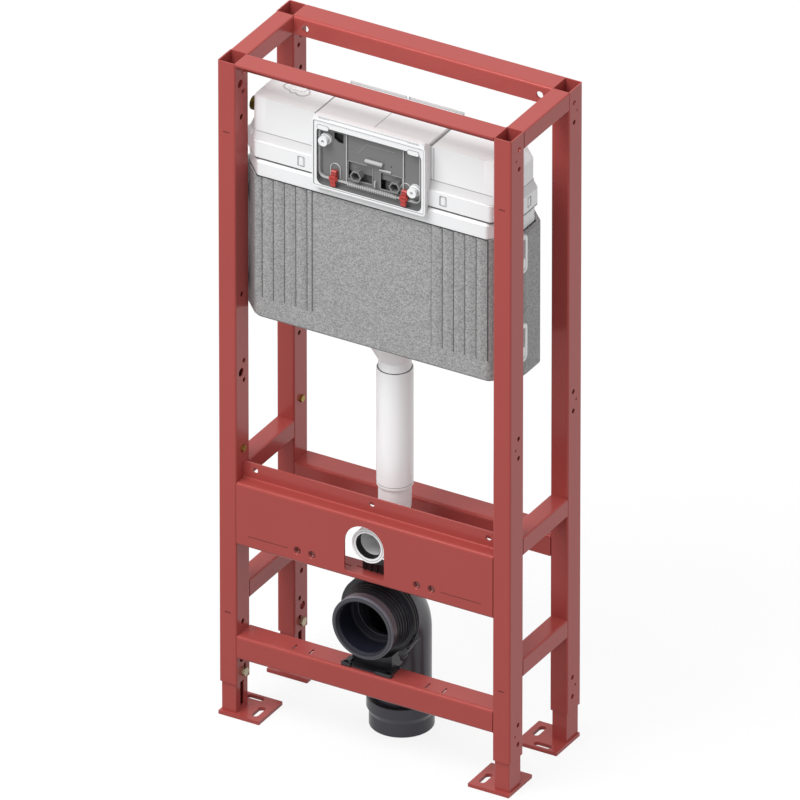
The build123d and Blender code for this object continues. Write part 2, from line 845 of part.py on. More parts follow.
# Service frame round the opening, with a stepped border and a tab in each upper corner
with BuildPart() as service_frame:
    with BuildSketch(front_plane(front + service_setback + service_step)):
        with Locations((0, service_z)):
            RectangleRounded(2 * service_half_width, service_height, service_corner)
    extrude(amount=-(block_setback - service_setback - service_step))
    with BuildSketch(front_plane(front + service_setback)):
        with Locations((0, service_z)):
            RectangleRounded(
                2 * (service_half_width - service_border),
                service_height - 2 * service_border,
                service_corner - service_border,
            )
    extrude(amount=-service_step)
    with BuildSketch(front_plane(front + service_setback)):
        with Locations((0, opening_z)):
            RectangleRounded(2 * opening_half, opening_height, opening_corner)
    extrude(amount=-block_setback, mode=Mode.SUBTRACT)
    with BuildSketch(front_plane(front + service_setback - corner_tab_proud)):
        tab_z = opening_top - corner_tab_hang + corner_tab_height / 2
        with Locations((-corner_tab_reach, tab_z), (corner_tab_reach, tab_z)):
            RectangleRounded(corner_tab_width, corner_tab_height, corner_tab_height / 2 - seat_gap)
    extrude(amount=-(corner_tab_proud + corner_tab_depth))
save(service_frame, "service_frame")

# Splash cover in the opening: a recessed panel with two valve windows, a spyhole, ribs and a grip
panel_y = front + cover_setback + cover_recess
knob_spots = {name: (sign * knob_reach, top - knob_drops[name]) for name, sign in SIDES.items()}
panel_low = opening_bottom + cover_foot_border
panel_high = opening_top - cover_border
latch_pocket_height = top - latch_head_drop + seat_gap - opening_bottom
latch_pocket_z = opening_bottom + latch_pocket_height / 2
with BuildPart() as splash_cover:
    with BuildSketch(front_plane(front + cover_setback)):
        with Locations((0, opening_z)):
            RectangleRounded(
                2 * (opening_half - seat_gap), opening_height - 2 * seat_gap, opening_corner - seat_gap
            )
    extrude(amount=-cover_thickness)
    with BuildSketch(front_plane(front + cover_setback)):
        with Locations((0, (panel_low + panel_high) / 2)):
            Rectangle(2 * (opening_half - cover_border), panel_high - panel_low)
        with Locations(*knob_spots.values()):
            Circle(knob_foot_radius + seat_gap)
    extrude(amount=-cover_recess, mode=Mode.SUBTRACT)
    with BuildSketch(front_plane(panel_y)):
        with Locations(*[(reach, (panel_low + panel_high) / 2) for reach in cover_rib_reaches]):
            Rectangle(cover_rib_width, panel_high - panel_low)
    extrude(amount=cover_recess)
    with BuildSketch(front_plane(front + cover_setback)):
        with Locations((-latch_reach, latch_pocket_z), (latch_reach, latch_pocket_z)):
            Rectangle(latch_width + 2 * seat_gap, latch_pocket_height)
    extrude(amount=-cover_recess, mode=Mode.SUBTRACT)
    with BuildSketch(front_plane(panel_y)):
        with Locations(((grip_low + grip_high) / 2, top - grip_drop)):
            Rectangle(grip_high - grip_low, grip_height)
    extrude(amount=grip_proud)
    with BuildSketch(front_plane(front + cover_setback)):
        for low_x, high_x, high_drop, low_drop in (left_window, right_window):
            with Locations(((low_x + high_x) / 2, top - (low_drop + high_drop) / 2)):
                Rectangle(high_x - low_x, low_drop - high_drop)
        Polygon(*[(reach, top - drop) for reach, drop in spyhole], align=None)
    extrude(amount=-cover_thickness, mode=Mode.SUBTRACT)
save(splash_cover, "splash_cover")

# Hollow knobs that hold the cover
with BuildPart() as cover_knobs:
    with BuildSketch(front_plane(panel_y)):
        with Locations(*knob_spots.values()):
            Circle(knob_foot_radius)
    extrude(amount=knob_foot_height)
    with BuildSketch(front_plane(panel_y)):
        with Locations(*knob_spots.values()):
            Circle(knob_radius)
    extrude(amount=knob_length)
    with BuildSketch(front_plane(panel_y)):
        with Locations(*knob_spots.values()):
            Circle(knob_bore)
    extrude(amount=knob_length, mode=Mode.SUBTRACT)
save(cover_knobs, "cover_knobs")


def make_latch(label, side):
    """A toothed red latch that hooks over the lower rim of the service frame."""
    head_y = front + latch_front_setback + latch_teeth * latch_tooth
    head_z = top - latch_head_drop
    tooth_height = (latch_lug_bottom - latch_head_drop) / latch_teeth
    foot_z = opening_bottom + seat_gap
    toe_z = opening_bottom - latch_toe
    outline = [(panel_y, head_z)]
    for index in range(latch_teeth):
        outline.append((head_y - index * latch_tooth, head_z - index * tooth_height))
        outline.append((head_y - (index + 1) * latch_tooth, head_z - (index + 1) * tooth_height))
        outline.append((head_y - (index + 0.5) * latch_tooth, head_z - (index + 1) * tooth_height))
    outline[-1] = (front + latch_front_setback, toe_z)
    outline += [
        (front + service_setback - seat_gap, toe_z),
        (front + service_setback - seat_gap, foot_z),
        (panel_y, foot_z),
    ]
    with BuildPart() as latch:
        with BuildSketch(side_plane(side * latch_reach)):
            Polygon(*outline, align=None)
        extrude(amount=latch_width / 2, both=True)
        with BuildSketch(front_plane(front + latch_lug_front)):
            with Locations((side * latch_reach, top - (latch_lug_top + latch_lug_bottom) / 2)):
                Rectangle(latch_lug_width, latch_lug_bottom - latch_lug_top)
        extrude(amount=-(panel_y - front - latch_lug_front) / 2)
    save(latch, label)


for side_name, side in SIDES.items():
    make_latch(f"latch_{side_name}", side)

# Valve carrier behind the cover: a bar across the opening with two valve heads under it
with BuildPart() as valve_carrier:
    with BuildSketch(front_plane(front + valve_bar_setback)):
        with Locations((0, top - valve_bar_drop - valve_bar_height / 2)):
            Rectangle(2 * (opening_half - seat_gap), valve_bar_height)
    extrude(amount=-valve_bar_depth)
    for low_x, high_x in valve_spans:
        with BuildSketch(front_plane(front + valve_bar_setback + valve_bar_depth)):
            with Locations(((low_x + high_x) / 2, top - valve_bar_drop - valve_bar_height / 2)):
                Rectangle(high_x - low_x, valve_bar_height)
        extrude(amount=-(valve_setback - valve_bar_setback - valve_bar_depth))
        with BuildSketch(front_plane(front + valve_setback)):
            with Locations(((low_x + high_x) / 2, top - (valve_bar_drop + valve_foot_drop) / 2)):
                Rectangle(high_x - low_x, valve_foot_drop - valve_bar_drop)
        extrude(amount=-valve_depth)
save(valve_carrier, "valve_carrier")

# Hexagonal push tubes on the valve heads
with BuildPart() as push_tubes:
    with BuildSketch(front_plane(front + push_tube_setback)):
        with Locations(*[(reach, top - drop) for reach, drop in push_tube_spots]):
            RegularPolygon(push_tube_flats / 2, 6, major_radius=False)
            RegularPolygon(push_tube_flats / 2 - push_tube_wall, 6, major_radius=False, mode=Mode.SUBTRACT)
    extrude(amount=-(valve_setback - push_tube_setback))
save(push_tubes, "push_tubes")

# Flush neck under the tank
neck_top = tub_bottom - seat_gap
neck_bottom = tub_bottom - neck_length
cone_top = shell_bottom - neck_collar_height
neck_foot = cone_top - neck_cone_height - neck_shoulder_height
with BuildPart() as flush_neck:
    with BuildSketch(Plane.YZ):
        with BuildLine():
            Polyline(
                (flush_y + neck_radius - pipe_wall, neck_bottom),
                (flush_y + neck_radius, neck_bottom),
                (flush_y + neck_radius, neck_foot),
                (flush_y + neck_shoulder_radius, neck_foot + neck_shoulder_height),
                (flush_y + neck_top_radius, cone_top),
                (flush_y + neck_top_radius, neck_top),
                (flush_y + neck_radius - pipe_wall, neck_top),
                (flush_y + neck_radius - pipe_wall, neck_bottom),
            )
        make_face()
    revolve(axis=Axis((0, flush_y, 0), (0, 0, 1)))
save(flush_neck, "flush_neck")

# White sleeve over the neck, with a seat on the pipe below it
sleeve_top = neck_foot - sleeve_gap
sleeve_bottom = sleeve_top - sleeve_length
with BuildPart() as flush_sleeve:
    with BuildSketch(Plane.XY.offset(sleeve_bottom)):
        with Locations((0, flush_y)):
            Circle(sleeve_radius)
            Circle(sleeve_radius - sleeve_wall, mode=Mode.SUBTRACT)
    extrude(amount=sleeve_length)
    with BuildSketch(Plane.XY.offset(sleeve_bottom)):
        with Locations((0, flush_y)):
            Circle(sleeve_radius)
            Circle(pipe_radius + pipe_clearance, mode=Mode.SUBTRACT)
    extrude(amount=sleeve_seat)
save(flush_sleeve, "flush_sleeve")

# Flush pipe, which turns forward to the plate
ring_back = front + flush_ring_setback + flush_ring_length
pipe_top = neck_bottom - pipe_clearance
flush_bore = bore_corners(
    flush_y - flush_bend_radius, flush_z + flush_bend_radius, flush_bend_radius, -90, 0
)
with BuildPart() as flush_pipe:
    with BuildLine():
        FilletPolyline(
            (0, flush_y, pipe_top), (0, flush_y, flush_z), (0, ring_back, flush_z), radius=flush_bend_radius
        )
    with BuildSketch(Plane.XY.offset(pipe_top)):
        with Locations((0, flush_y)):
            Circle(pipe_radius)
    sweep()
    with BuildLine():
        Polyline((0, ring_back - cut_slack, flush_z), *flush_bore, (0, flush_y, pipe_top + cut_slack))
    with BuildSketch(front_plane(ring_back - cut_slack)):
        with Locations((0, flush_z)):
            Circle(pipe_radius - pipe_wall)
    sweep(transition=Transition.RIGHT, mode=Mode.SUBTRACT)
save(flush_pipe, "flush_pipe")

with BuildPart() as flush_ring:
    with BuildSketch(front_plane(front + flush_ring_setback)):
        with Locations((0, flush_z)):
            Circle(flush_ring_radius)
            Circle(flush_bore_radius, mode=Mode.SUBTRACT)
    extrude(amount=-flush_ring_length)
save(flush_ring, "flush_ring")

# Ribbed holder of the flush pipe on the flange of the plate
flange_top = plate_bottom + sheet
with BuildPart() as flush_holder:
    with BuildSketch(front_plane(front + flush_holder_setback)):
        with Locations((0, flange_top + flush_holder_rise / 2)):
            Rectangle(2 * flush_holder_half_width, flush_holder_rise)
    extrude(amount=-flush_holder_depth)
    with BuildSketch(front_plane(front + flush_holder_setback)):
        rib_pitch = 2 * flush_holder_half_width / flush_holder_ribs
        with Locations(
            *[
                ((index + 0.5) * rib_pitch - flush_holder_half_width, flange_top + flush_holder_rise / 2)
                for index in range(flush_holder_ribs)
            ]
        ):
            Rectangle(flush_holder_rib_width, flush_holder_rise)
    extrude(amount=flush_holder_rib_proud)
    with BuildSketch(front_plane(front)):
        with Locations((0, flush_z)):
            Circle(flush_ring_radius + seat_gap)
    extrude(amount=-plate_flange, mode=Mode.SUBTRACT)
save(flush_holder, "flush_holder")

# Mouth of the waste bend, with its lip, waist and collar
mouth_back = front - mouth_reach + mouth_depth
mouth_lip_back = front - mouth_reach + mouth_lip_length
with BuildPart() as waste_mouth:
    with BuildSketch(Plane.YZ):
        with BuildLine():
            Polyline(
                (front - mouth_reach, waste_z + mouth_bore_radius),
                (front - mouth_reach, waste_z + mouth_radius),
                (mouth_lip_back, waste_z + mouth_radius),
                (mouth_lip_back, waste_z + mouth_waist_radius),
                (mouth_back, waste_z + mouth_collar_radius),
                (mouth_back, waste_z + mouth_bore_radius),
                (front - mouth_reach, waste_z + mouth_bore_radius),
            )
        make_face()
    revolve(axis=Axis((0, 0, waste_z), (0, 1, 0)))
save(waste_mouth, "waste_mouth")

# Waste bend: a collar in the strap, the elbow and the leg down into the adapter
strap_inner = strap_radius - waste_wall
elbow_front = front + strap_setback + strap_width
elbow_radius = min(waste_bend_radius, waste_y - elbow_front - seat_gap)
leg_foot = waste_leg_rise
waste_bore = bore_corners(waste_y - elbow_radius, waste_z - elbow_radius, elbow_radius, 90, 0)
with BuildPart() as waste_bend:
    with BuildSketch(front_plane(mouth_back)):
        with Locations((0, waste_z)):
            Circle(strap_inner - seat_gap)
    extrude(amount=-(elbow_front - mouth_back))
    with BuildLine():
        FilletPolyline(
            (0, elbow_front, waste_z), (0, waste_y, waste_z), (0, waste_y, leg_foot), radius=elbow_radius
        )
    with BuildSketch(front_plane(elbow_front)):
        with Locations((0, waste_z)):
            Circle(waste_radius)
    sweep()
    with BuildLine():
        Polyline(
            (0, mouth_back - cut_slack, waste_z), *waste_bore, (0, waste_y, leg_foot - cut_slack)
        )
    with BuildSketch(front_plane(mouth_back - cut_slack)):
        with Locations((0, waste_z)):
            Circle(waste_radius - waste_wall)
    sweep(transition=Transition.RIGHT, mode=Mode.SUBTRACT)
save(waste_bend, "waste_bend")

with BuildPart() as bend_strap:
    with BuildSketch(front_plane(front + strap_setback)):
        with Locations((0, waste_z)):
            Circle(strap_radius)
            Circle(strap_inner, mode=Mode.SUBTRACT)
    extrude(amount=-strap_width)
save(bend_strap, "bend_strap")

# Toggle lever on the lower right of the strap
lever_x = strap_radius * cos(radians(lever_angle))
lever_z = waste_z + strap_radius * sin(radians(lever_angle))
lever_plane = Plane(
    origin=(lever_x, front + strap_setback + strap_width / 2, lever_z),
    x_dir=(sin(radians(-lever_angle)), 0, cos(radians(lever_angle))),
    z_dir=(0, -1, 0),
)
with BuildPart() as strap_lever:
    with BuildSketch(lever_plane):
        with Locations((0, -(seat_gap + lever_thickness / 2))):
            Rectangle(lever_length, lever_thickness)
    extrude(amount=lever_width / 2, both=True)
save(strap_lever, "strap_lever")

# Holder of the bend on the crossbar
holder_front = front + holder_setback
with BuildPart() as bend_holder:
    with BuildSketch(Plane.XY.offset(crossbar_top)):
        with Locations((0, (holder_front + front + post_depth) / 2)):
            Rectangle(2 * holder_half_width, post_depth - holder_setback)
    extrude(amount=holder_base)
    with BuildSketch(Plane.XY.offset(crossbar_top + holder_base)):
        for sign in SIDES.values():
            with Locations((sign * (holder_half_width - holder_rail_width / 2), holder_front + post_depth / 4)):
                Rectangle(holder_rail_width, post_depth / 2)
    extrude(amount=holder_rail_height)
    with BuildSketch(Plane.XY.offset(crossbar_top)):
        with Locations((0, front + saddle_setback + saddle_depth / 2)):
            Rectangle(2 * saddle_half_width, saddle_depth)
    extrude(amount=saddle_height)
    with BuildSketch(front_plane(front)):
        with Locations((0, waste_z)):
            Circle(strap_radius + seat_gap)
    extrude(amount=-(saddle_setback + saddle_depth + cut_slack), mode=Mode.SUBTRACT)
save(bend_holder, "bend_holder")

# Adapter socket at the foot of the bend
collar_bottom = adapter_top_height - adapter_collar_height
taper_bottom = collar_bottom - adapter_taper_height
with BuildPart() as waste_adapter:
    with BuildSketch(Plane.YZ):
        with BuildLine():
            Polyline(
                (waste_y + adapter_radius - adapter_wall, adapter_floor_gap),
                (waste_y + adapter_radius, adapter_floor_gap),
                (waste_y + adapter_radius, taper_bottom),
                (waste_y + adapter_collar_radius, collar_bottom),
                (waste_y + adapter_collar_radius, adapter_top_height),
                (waste_y + waste_radius + seat_gap, adapter_top_height),
                (waste_y + waste_radius + seat_gap, leg_foot),
                (waste_y + adapter_radius - adapter_wall, leg_foot - adapter_wall),
                (waste_y + adapter_radius - adapter_wall, adapter_floor_gap),
            )
        make_face()
    revolve(axis=Axis((0, waste_y, 0), (0, 0, 1)))
save(waste_adapter, "waste_adapter")
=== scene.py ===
# %% [markdown]
# A steel frame for a wall hung toilet stands on a pale studio floor. The construction comes from
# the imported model, which holds every tube, rail, tank and pipe at its real size. This script gives
# those pieces their finishes and adds the small moulded and pressed details.

# %% Load the frame
import bmesh
import bpy
import json
from math import cos, pi, radians, sin
from mathutils import Matrix, Vector


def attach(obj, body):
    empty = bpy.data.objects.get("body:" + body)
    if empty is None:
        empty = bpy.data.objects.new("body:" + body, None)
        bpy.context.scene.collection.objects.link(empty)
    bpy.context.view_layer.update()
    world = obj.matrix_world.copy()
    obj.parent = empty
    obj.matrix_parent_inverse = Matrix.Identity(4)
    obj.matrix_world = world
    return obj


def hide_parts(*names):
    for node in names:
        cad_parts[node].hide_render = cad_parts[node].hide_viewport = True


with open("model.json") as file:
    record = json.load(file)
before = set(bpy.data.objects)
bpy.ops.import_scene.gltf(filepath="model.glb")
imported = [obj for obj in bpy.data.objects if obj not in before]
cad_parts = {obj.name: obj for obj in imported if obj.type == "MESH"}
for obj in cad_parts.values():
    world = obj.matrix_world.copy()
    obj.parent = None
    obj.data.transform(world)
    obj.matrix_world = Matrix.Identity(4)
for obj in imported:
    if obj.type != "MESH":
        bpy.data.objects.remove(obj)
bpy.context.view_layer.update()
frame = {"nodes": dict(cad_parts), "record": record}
nodes = frame["nodes"]
MM = 0.001

# %% [markdown]
# The view is nearly parallel, as in a product drawing, so a very long lens far away stands in for
# it. The angles are those at which the frame's width, depth and height have the lengths that the
# reference shows.

# %% Camera
VIEW_TURN = radians(30.05)
VIEW_TILT = radians(29.74)
VIEW_DISTANCE = 45.0
VIEW_WIDTH = 1.1871
VIEW_TARGET = Vector((0.00177, 0.00103, 0.5588))
SENSOR = 36.0

view_direction = Vector(
    (cos(VIEW_TILT) * sin(VIEW_TURN), -cos(VIEW_TILT) * cos(VIEW_TURN), sin(VIEW_TILT))
)
camera_data = bpy.data.cameras.new("view_camera")
camera_data.sensor_width = SENSOR
camera_data.lens = SENSOR * VIEW_DISTANCE / VIEW_WIDTH
camera_data.clip_end = 3 * VIEW_DISTANCE
camera = bpy.data.objects.new("view_camera", camera_data)
camera.location = VIEW_TARGET + VIEW_DISTANCE * view_direction
camera.rotation_euler = view_direction.to_track_quat("Z", "Y").to_euler()
bpy.context.scene.collection.objects.link(camera)
bpy.context.scene.camera = camera
bpy.context.scene.view_settings.view_transform = "Standard"
print("lens", round(camera_data.lens))

# %% [markdown]
# Colours are written as sRGB hex values, as they would be picked from a swatch. The shaders work in
# linear light, so one function turns them. The finishes share a few more steps: a soft noise
# pattern of a real size, two near shades that it mixes, and a bump.


# %% Colour and node helpers
def colour(code):
    """Linear RGBA of an sRGB hex value."""
    channels = [int(code[i : i + 2], 16) / 255 for i in (1, 3, 5)]
    linear = [c / 12.92 if c <= 0.04045 else ((c + 0.055) / 1.055) ** 2.4 for c in channels]
    return (*linear, 1.0)


def add_node(tree, kind, values=None, links=None, **settings):
    """Adds a shader node with its settings, socket values and incoming links."""
    item = tree.nodes.new(kind)
    for name, value in settings.items():
        setattr(item, name, value)
    for socket, value in (values or {}).items():
        item.inputs[socket].default_value = value
    for socket, source in (links or {}).items():
        tree.links.new(source, item.inputs[socket])
    return item


def start_material(name, **values):
    """A material with its principled shader, its node tree and object coordinates."""
    material = bpy.data.materials.new(name)
    material.use_nodes = True
    tree = material.node_tree
    shader = tree.nodes["Principled BSDF"]
    for socket, value in values.items():
        shader.inputs[socket.replace("_", " ")].default_value = value
    coordinates = add_node(tree, "ShaderNodeTexCoord").outputs["Object"]
    return material, tree, shader, coordinates


def noise_pattern(tree, coordinates, size, detail):
    """The factor of a noise pattern whose features have the given size in metres."""
    values = {"Scale": 1 / size, "Detail": detail}
    return add_node(tree, "ShaderNodeTexNoise", values, {"Vector": coordinates}).outputs["Fac"]


def mix_shades(tree, shader, factor, dark, light):
    """Runs the base colour between two shades along a factor."""
    values = {"A": colour(dark), "B": colour(light)}
    mix = add_node(tree, "ShaderNodeMix", data_type="RGBA", values=values, links={"Factor": factor})
    tree.links.new(mix.outputs["Result"], shader.inputs["Base Color"])


def raise_bumps(tree, shader, height, strength, depth, invert=False):
    """Lets a pattern's height bend the surface's normal."""
    values = {"Strength": strength, "Distance": depth}
    bump = add_node(tree, "ShaderNodeBump", invert=invert, values=values, links={"Height": height})
    tree.links.new(bump.outputs["Normal"], shader.inputs["Normal"])


# %% [markdown]
# The floor is a large pale sheet. The camera sees the white sky through most of it, with a faint
# soft shadow of the feet, so that a foot drawn out below it still shows. Light that comes from
# above stops at the sheet, and what lies below is lit through it. Mirrored it is white, and for
# bounced light it is greyer, so that low and upright faces keep their shade.

# %% Floor
FLOOR_HALF = 14.0
FLOOR_GREY = "#9C9C9C"
FLOOR_WHITE = "#F6F6F6"
SHADOW_SHARE = 0.15
MIRROR_SHARE = 0.6

floor_mesh = bmesh.new()
bmesh.ops.create_grid(floor_mesh, x_segments=1, y_segments=1, size=FLOOR_HALF)
floor_data = bpy.data.meshes.new("studio_floor")
floor_mesh.to_mesh(floor_data)
floor_mesh.free()
floor = bpy.data.objects.new("studio_floor", floor_data)
bpy.context.scene.collection.objects.link(floor)

floor_paint, tree, shader, _ = start_material("matt_studio_paint", Roughness=0.9)
path = add_node(tree, "ShaderNodeLightPath").outputs
underside = add_node(tree, "ShaderNodeNewGeometry").outputs["Backfacing"]
mirrored = add_node(
    tree,
    "ShaderNodeMath",
    operation="MULTIPLY",
    values={1: MIRROR_SHARE},
    links={0: path["Is Glossy Ray"]},
)
bright = add_node(
    tree,
    "ShaderNodeMath",
    operation="MAXIMUM",
    links={0: path["Is Transmission Ray"], 1: mirrored.outputs[0]},
)
pale = add_node(
    tree,
    "ShaderNodeMath",
    operation="MAXIMUM",
    links={0: path["Is Camera Ray"], 1: bright.outputs[0]},
)
mix_shades(tree, shader, pale.outputs[0], FLOOR_GREY, FLOOR_WHITE)
white = add_node(tree, "ShaderNodeEmission", values={"Strength": 1.0})
white_share = add_node(
    tree,
    "ShaderNodeMath",
    operation="MULTIPLY",
    values={1: 1 - SHADOW_SHARE},
    links={0: bright.outputs[0]},
)
sheet = add_node(
    tree,
    "ShaderNodeMixShader",
    links={0: white_share.outputs[0], 1: shader.outputs["BSDF"], 2: white.outputs["Emission"]},
)
seen_through = add_node(
    tree,
    "ShaderNodeMath",
    operation="MULTIPLY",
    values={1: 1 - SHADOW_SHARE},
    links={0: path["Is Camera Ray"]},
)
lit_through = add_node(
    tree,
    "ShaderNodeMath",
    operation="MULTIPLY",
    links={0: path["Is Shadow Ray"], 1: underside},
)
clear_share = add_node(
    tree,
    "ShaderNodeMath",
    operation="MAXIMUM",
    links={0: seen_through.outputs[0], 1: lit_through.outputs[0]},
)
clear = add_node(tree, "ShaderNodeBsdfTransparent")
surface = add_node(
    tree,
    "ShaderNodeMixShader",
    links={0: clear_share.outputs[0], 1: sheet.outputs["Shader"], 2: clear.outputs["BSDF"]},
)
tree.links.new(surface.outputs["Shader"], tree.nodes["Material Output"].inputs["Surface"])
floor_data.materials.append(floor_paint)
print("floor", 2 * FLOOR_HALF, "m wide")

# %% [markdown]
# The light is an even grey-white sky with one broad lamp from the front left and above. The sky is
# fully white only where it is seen directly.

# %% Light
SKY_LEVEL = 0.85
LAMP_POWER = 146.0
LAMP_DIRECTION = Vector((-0.18, -0.50, 0.85))
LAMP_DISTANCE = 4.5
LAMP_SIZE = 2.4

world = bpy.data.worlds.new("studio_sky")
bpy.context.scene.world = world
world.use_nodes = True
tree = world.node_tree
sky = tree.nodes["Background"]
sky.inputs["Color"].default_value = colour("#FFFFFF")
path = add_node(tree, "ShaderNodeLightPath").outputs
seen = add_node(
    tree,
    "ShaderNodeMath",
    operation="MAXIMUM",
    links={0: path["Is Camera Ray"], 1: path["Is Transmission Ray"]},
)
strength = add_node(
    tree,
    "ShaderNodeMapRange",
    values={"To Min": SKY_LEVEL, "To Max": 1.0},
    links={"Value": seen.outputs[0]},
)
tree.links.new(strength.outputs["Result"], sky.inputs["Strength"])

lamp_data = bpy.data.lights.new("broad_lamp", "AREA")
lamp_data.energy = LAMP_POWER
lamp_data.size = LAMP_SIZE
lamp = bpy.data.objects.new("broad_lamp", lamp_data)
lamp.location = Vector((0, 0, VIEW_TARGET.z)) + LAMP_DISTANCE * LAMP_DIRECTION
lamp.rotation_euler = LAMP_DIRECTION.to_track_quat("Z", "Y").to_euler()
bpy.context.scene.collection.objects.link(lamp)
print("sky", SKY_LEVEL, "lamp", LAMP_POWER, "W")

# %% [markdown]
# Polyester powder coat on steel: oxide red, satin, with the faint orange peel that the melted
# powder leaves. Peel waves are about 1.2 mm apart. The shade drifts a little over hand widths. The
# sheen is tinted, as the binder lets the red through. Darker copies of the coat are painted shade
# in grooves, threads and teeth.

# %% Powder coat
PEEL = 1.2 * MM
PEEL_DEPTH = 0.1 * MM
DRIFT = 160 * MM
COAT_ROUGHNESS = 0.22
COAT_SHEEN = "#FFB0AA"


def coat_material(name, dark, light):
    """A satin powder coat between two near shades."""
    material, tree, shader, coordinates = start_material(
        name, Roughness=COAT_ROUGHNESS, Specular_Tint=colour(COAT_SHEEN)
    )
    mix_shades(tree, shader, noise_pattern(tree, coordinates, DRIFT, 3), dark, light)
    raise_bumps(tree, shader, noise_pattern(tree, coordinates, PEEL, 2), 0.12, PEEL_DEPTH)
    return material


powder_coat = coat_material("satin_powder_coat_on_steel", "#9E4541", "#A64A46")
# Painted shade: a dark red for the engraved marks and a darker red for the inserts' threads and the
# latch teeth.
shaded_coat = coat_material("powder_coat_painted_groove_shade", "#47201F", "#502624")
thread_shade_coat = coat_material("powder_coat_painted_thread_shade", "#6A3432", "#753B39")
print("coats 3")

# %% [markdown]
# Expanded polystyrene bead foam: each bead, about 1.6 mm across, keeps its own grey where it was
# fused to the next, so the face looks speckled. Cells of a Voronoi pattern stand for the beads.

# %% Bead foam
BEAD = 1.6 * MM
BEAD_DEPTH = 0.3 * MM

bead_foam, tree, shader, coordinates = start_material("grey_bead_foam", Roughness=0.85)
beads = add_node(
    tree, "ShaderNodeTexVoronoi", values={"Scale": 1 / BEAD}, links={"Vector": coordinates}
)
grey = add_node(tree, "ShaderNodeSeparateColor", links={"Color": beads.outputs["Color"]})
ramp = add_node(tree, "ShaderNodeValToRGB", links={"Fac": grey.outputs["Red"]})
ramp.color_ramp.elements[0].color = colour("#828282")
ramp.color_ramp.elements[1].color = colour("#B0B0B0")
tree.links.new(ramp.outputs["Color"], shader.inputs["Base Color"])
raise_bumps(tree, shader, beads.outputs["Distance"], 0.5, BEAD_DEPTH, invert=True)
print("bead", BEAD)

# %% [markdown]
# Plastics: the tanks and the flush pipe are moulded in white polypropylene, the waste parts in
# black polyethylene, the splash cover in grey translucent ABS and the latches in red ABS. All have
# a satin skin whose gloss varies softly, with fine grain of about half a millimetre.

# %% Plastics
GRAIN = 0.6 * MM
GRAIN_DEPTH = 0.05 * MM
GLOSS_DRIFT = 60 * MM
GLOSS_SWING = 0.06


def moulded_plastic(name, dark, light, roughness, bump_strength):
    """A moulded satin plastic between two near shades."""
    material, tree, shader, coordinates = start_material(name)
    shade = noise_pattern(tree, coordinates, GLOSS_DRIFT, 4)
    mix_shades(tree, shader, shade, dark, light)
    gloss = add_node(
        tree,
        "ShaderNodeMapRange",
        values={"To Min": roughness - GLOSS_SWING, "To Max": roughness + GLOSS_SWING},
        links={"Value": shade},
    )
    tree.links.new(gloss.outputs["Result"], shader.inputs["Roughness"])
    grain = noise_pattern(tree, coordinates, GRAIN, 1)
    raise_bumps(tree, shader, grain, bump_strength, GRAIN_DEPTH)
    return material


white_polypropylene = moulded_plastic("white_polypropylene", "#E7E8E9", "#EDEEEF", 0.38, 0.1)
# Painted light: a brighter copy of the tanks' white for the flush pipe.
lit_pipe_polypropylene = moulded_plastic("glossy_white_polypropylene_painted_light", "#F7F7F8", "#FBFBFC", 0.3, 0.05)
# Painted shade and highlight: this grey draws seam and groove lines as shade on the white parts, and
# edges and lips on the grey cover as highlight.
grey_polypropylene_painted_shade_and_highlight = moulded_plastic("grey_polypropylene_painted_shade_and_highlight", "#8A8A8B", "#979798", 0.45, 0.1)
black_polyethylene = moulded_plastic("black_polyethylene", "#1C1C20", "#26262B", 0.36, 0.15)
slate_polyethylene = moulded_plastic("slate_polyethylene", "#37363E", "#3F3E47", 0.24, 0.03)
navy_polyethylene = moulded_plastic("navy_black_polyethylene", "#1A1B26", "#20212D", 0.36, 0.1)
umber_polyethylene = moulded_plastic("umber_polyethylene", "#453A40", "#4F434A", 0.34, 0.1)
# Painted highlight: a pale grey for the fine ridges of the waste mouth.
highlight_polyethylene = moulded_plastic("pale_grey_polyethylene_painted_highlight", "#77757F", "#85838D", 0.3, 0.1)
grey_abs = moulded_plastic("grey_translucent_abs", "#6B6B6B", "#747474", 0.3, 0.05)
# Painted shade: a greyer copy of the white for the skirt of the hood.
skirt_shade_polypropylene = moulded_plastic("white_polypropylene_painted_skirt_shade", "#CDCDCE", "#D4D4D5", 0.5, 0.1)
# Pale grey ABS for the trim and the boss outline; on the cover the same paler grey paints highlight.
pale_abs_and_highlight = moulded_plastic("pale_grey_abs_and_painted_highlight", "#B4B4B4", "#C2C2C2", 0.3, 0.05)
red_abs = moulded_plastic("red_abs", "#A93530", "#B53E39", 0.35, 0.08)
# Painted shade: a dark grey for the slits of the shell and the groove under the band.
groove_shade_foam = moulded_plastic("foam_painted_groove_shade", "#4C4C4C", "#565656", 0.9, 0.1)
# Black rubber for the seals and the gasket; the same black paints shade in the gap under the lip and
# behind the cover's windows.
black_rubber_and_painted_shade = moulded_plastic("black_rubber_and_painted_shade", "#0E0E10", "#151518", 0.6, 0.2)
print("materials so far", len(bpy.data.materials))

# %% [markdown]
# Metals: the small bolts are brass or zinc plated steel, and the inlet is dull brass. All keep the
# default refraction of a metal, and only their colour and roughness differ.

# %% Metals
TOOL_MARK = 2 * MM


def turned_metal(name, dark, light, roughness):
    """A machined metal with faint tool marks."""
    material, tree, shader, coordinates = start_material(name, Metallic=1.0, Roughness=roughness)
    mix_shades(tree, shader, noise_pattern(tree, coordinates, TOOL_MARK, 4), dark, light)
    return material


brass = turned_metal("turned_brass", "#8F7A3A", "#B39A52", 0.35)
dull_brass = turned_metal("dull_brass", "#4A3E1C", "#6B5B2C", 0.4)
zinc = turned_metal("zinc_plated_steel", "#A79C80", "#C9BFA6", 0.4)
print("metals 3")
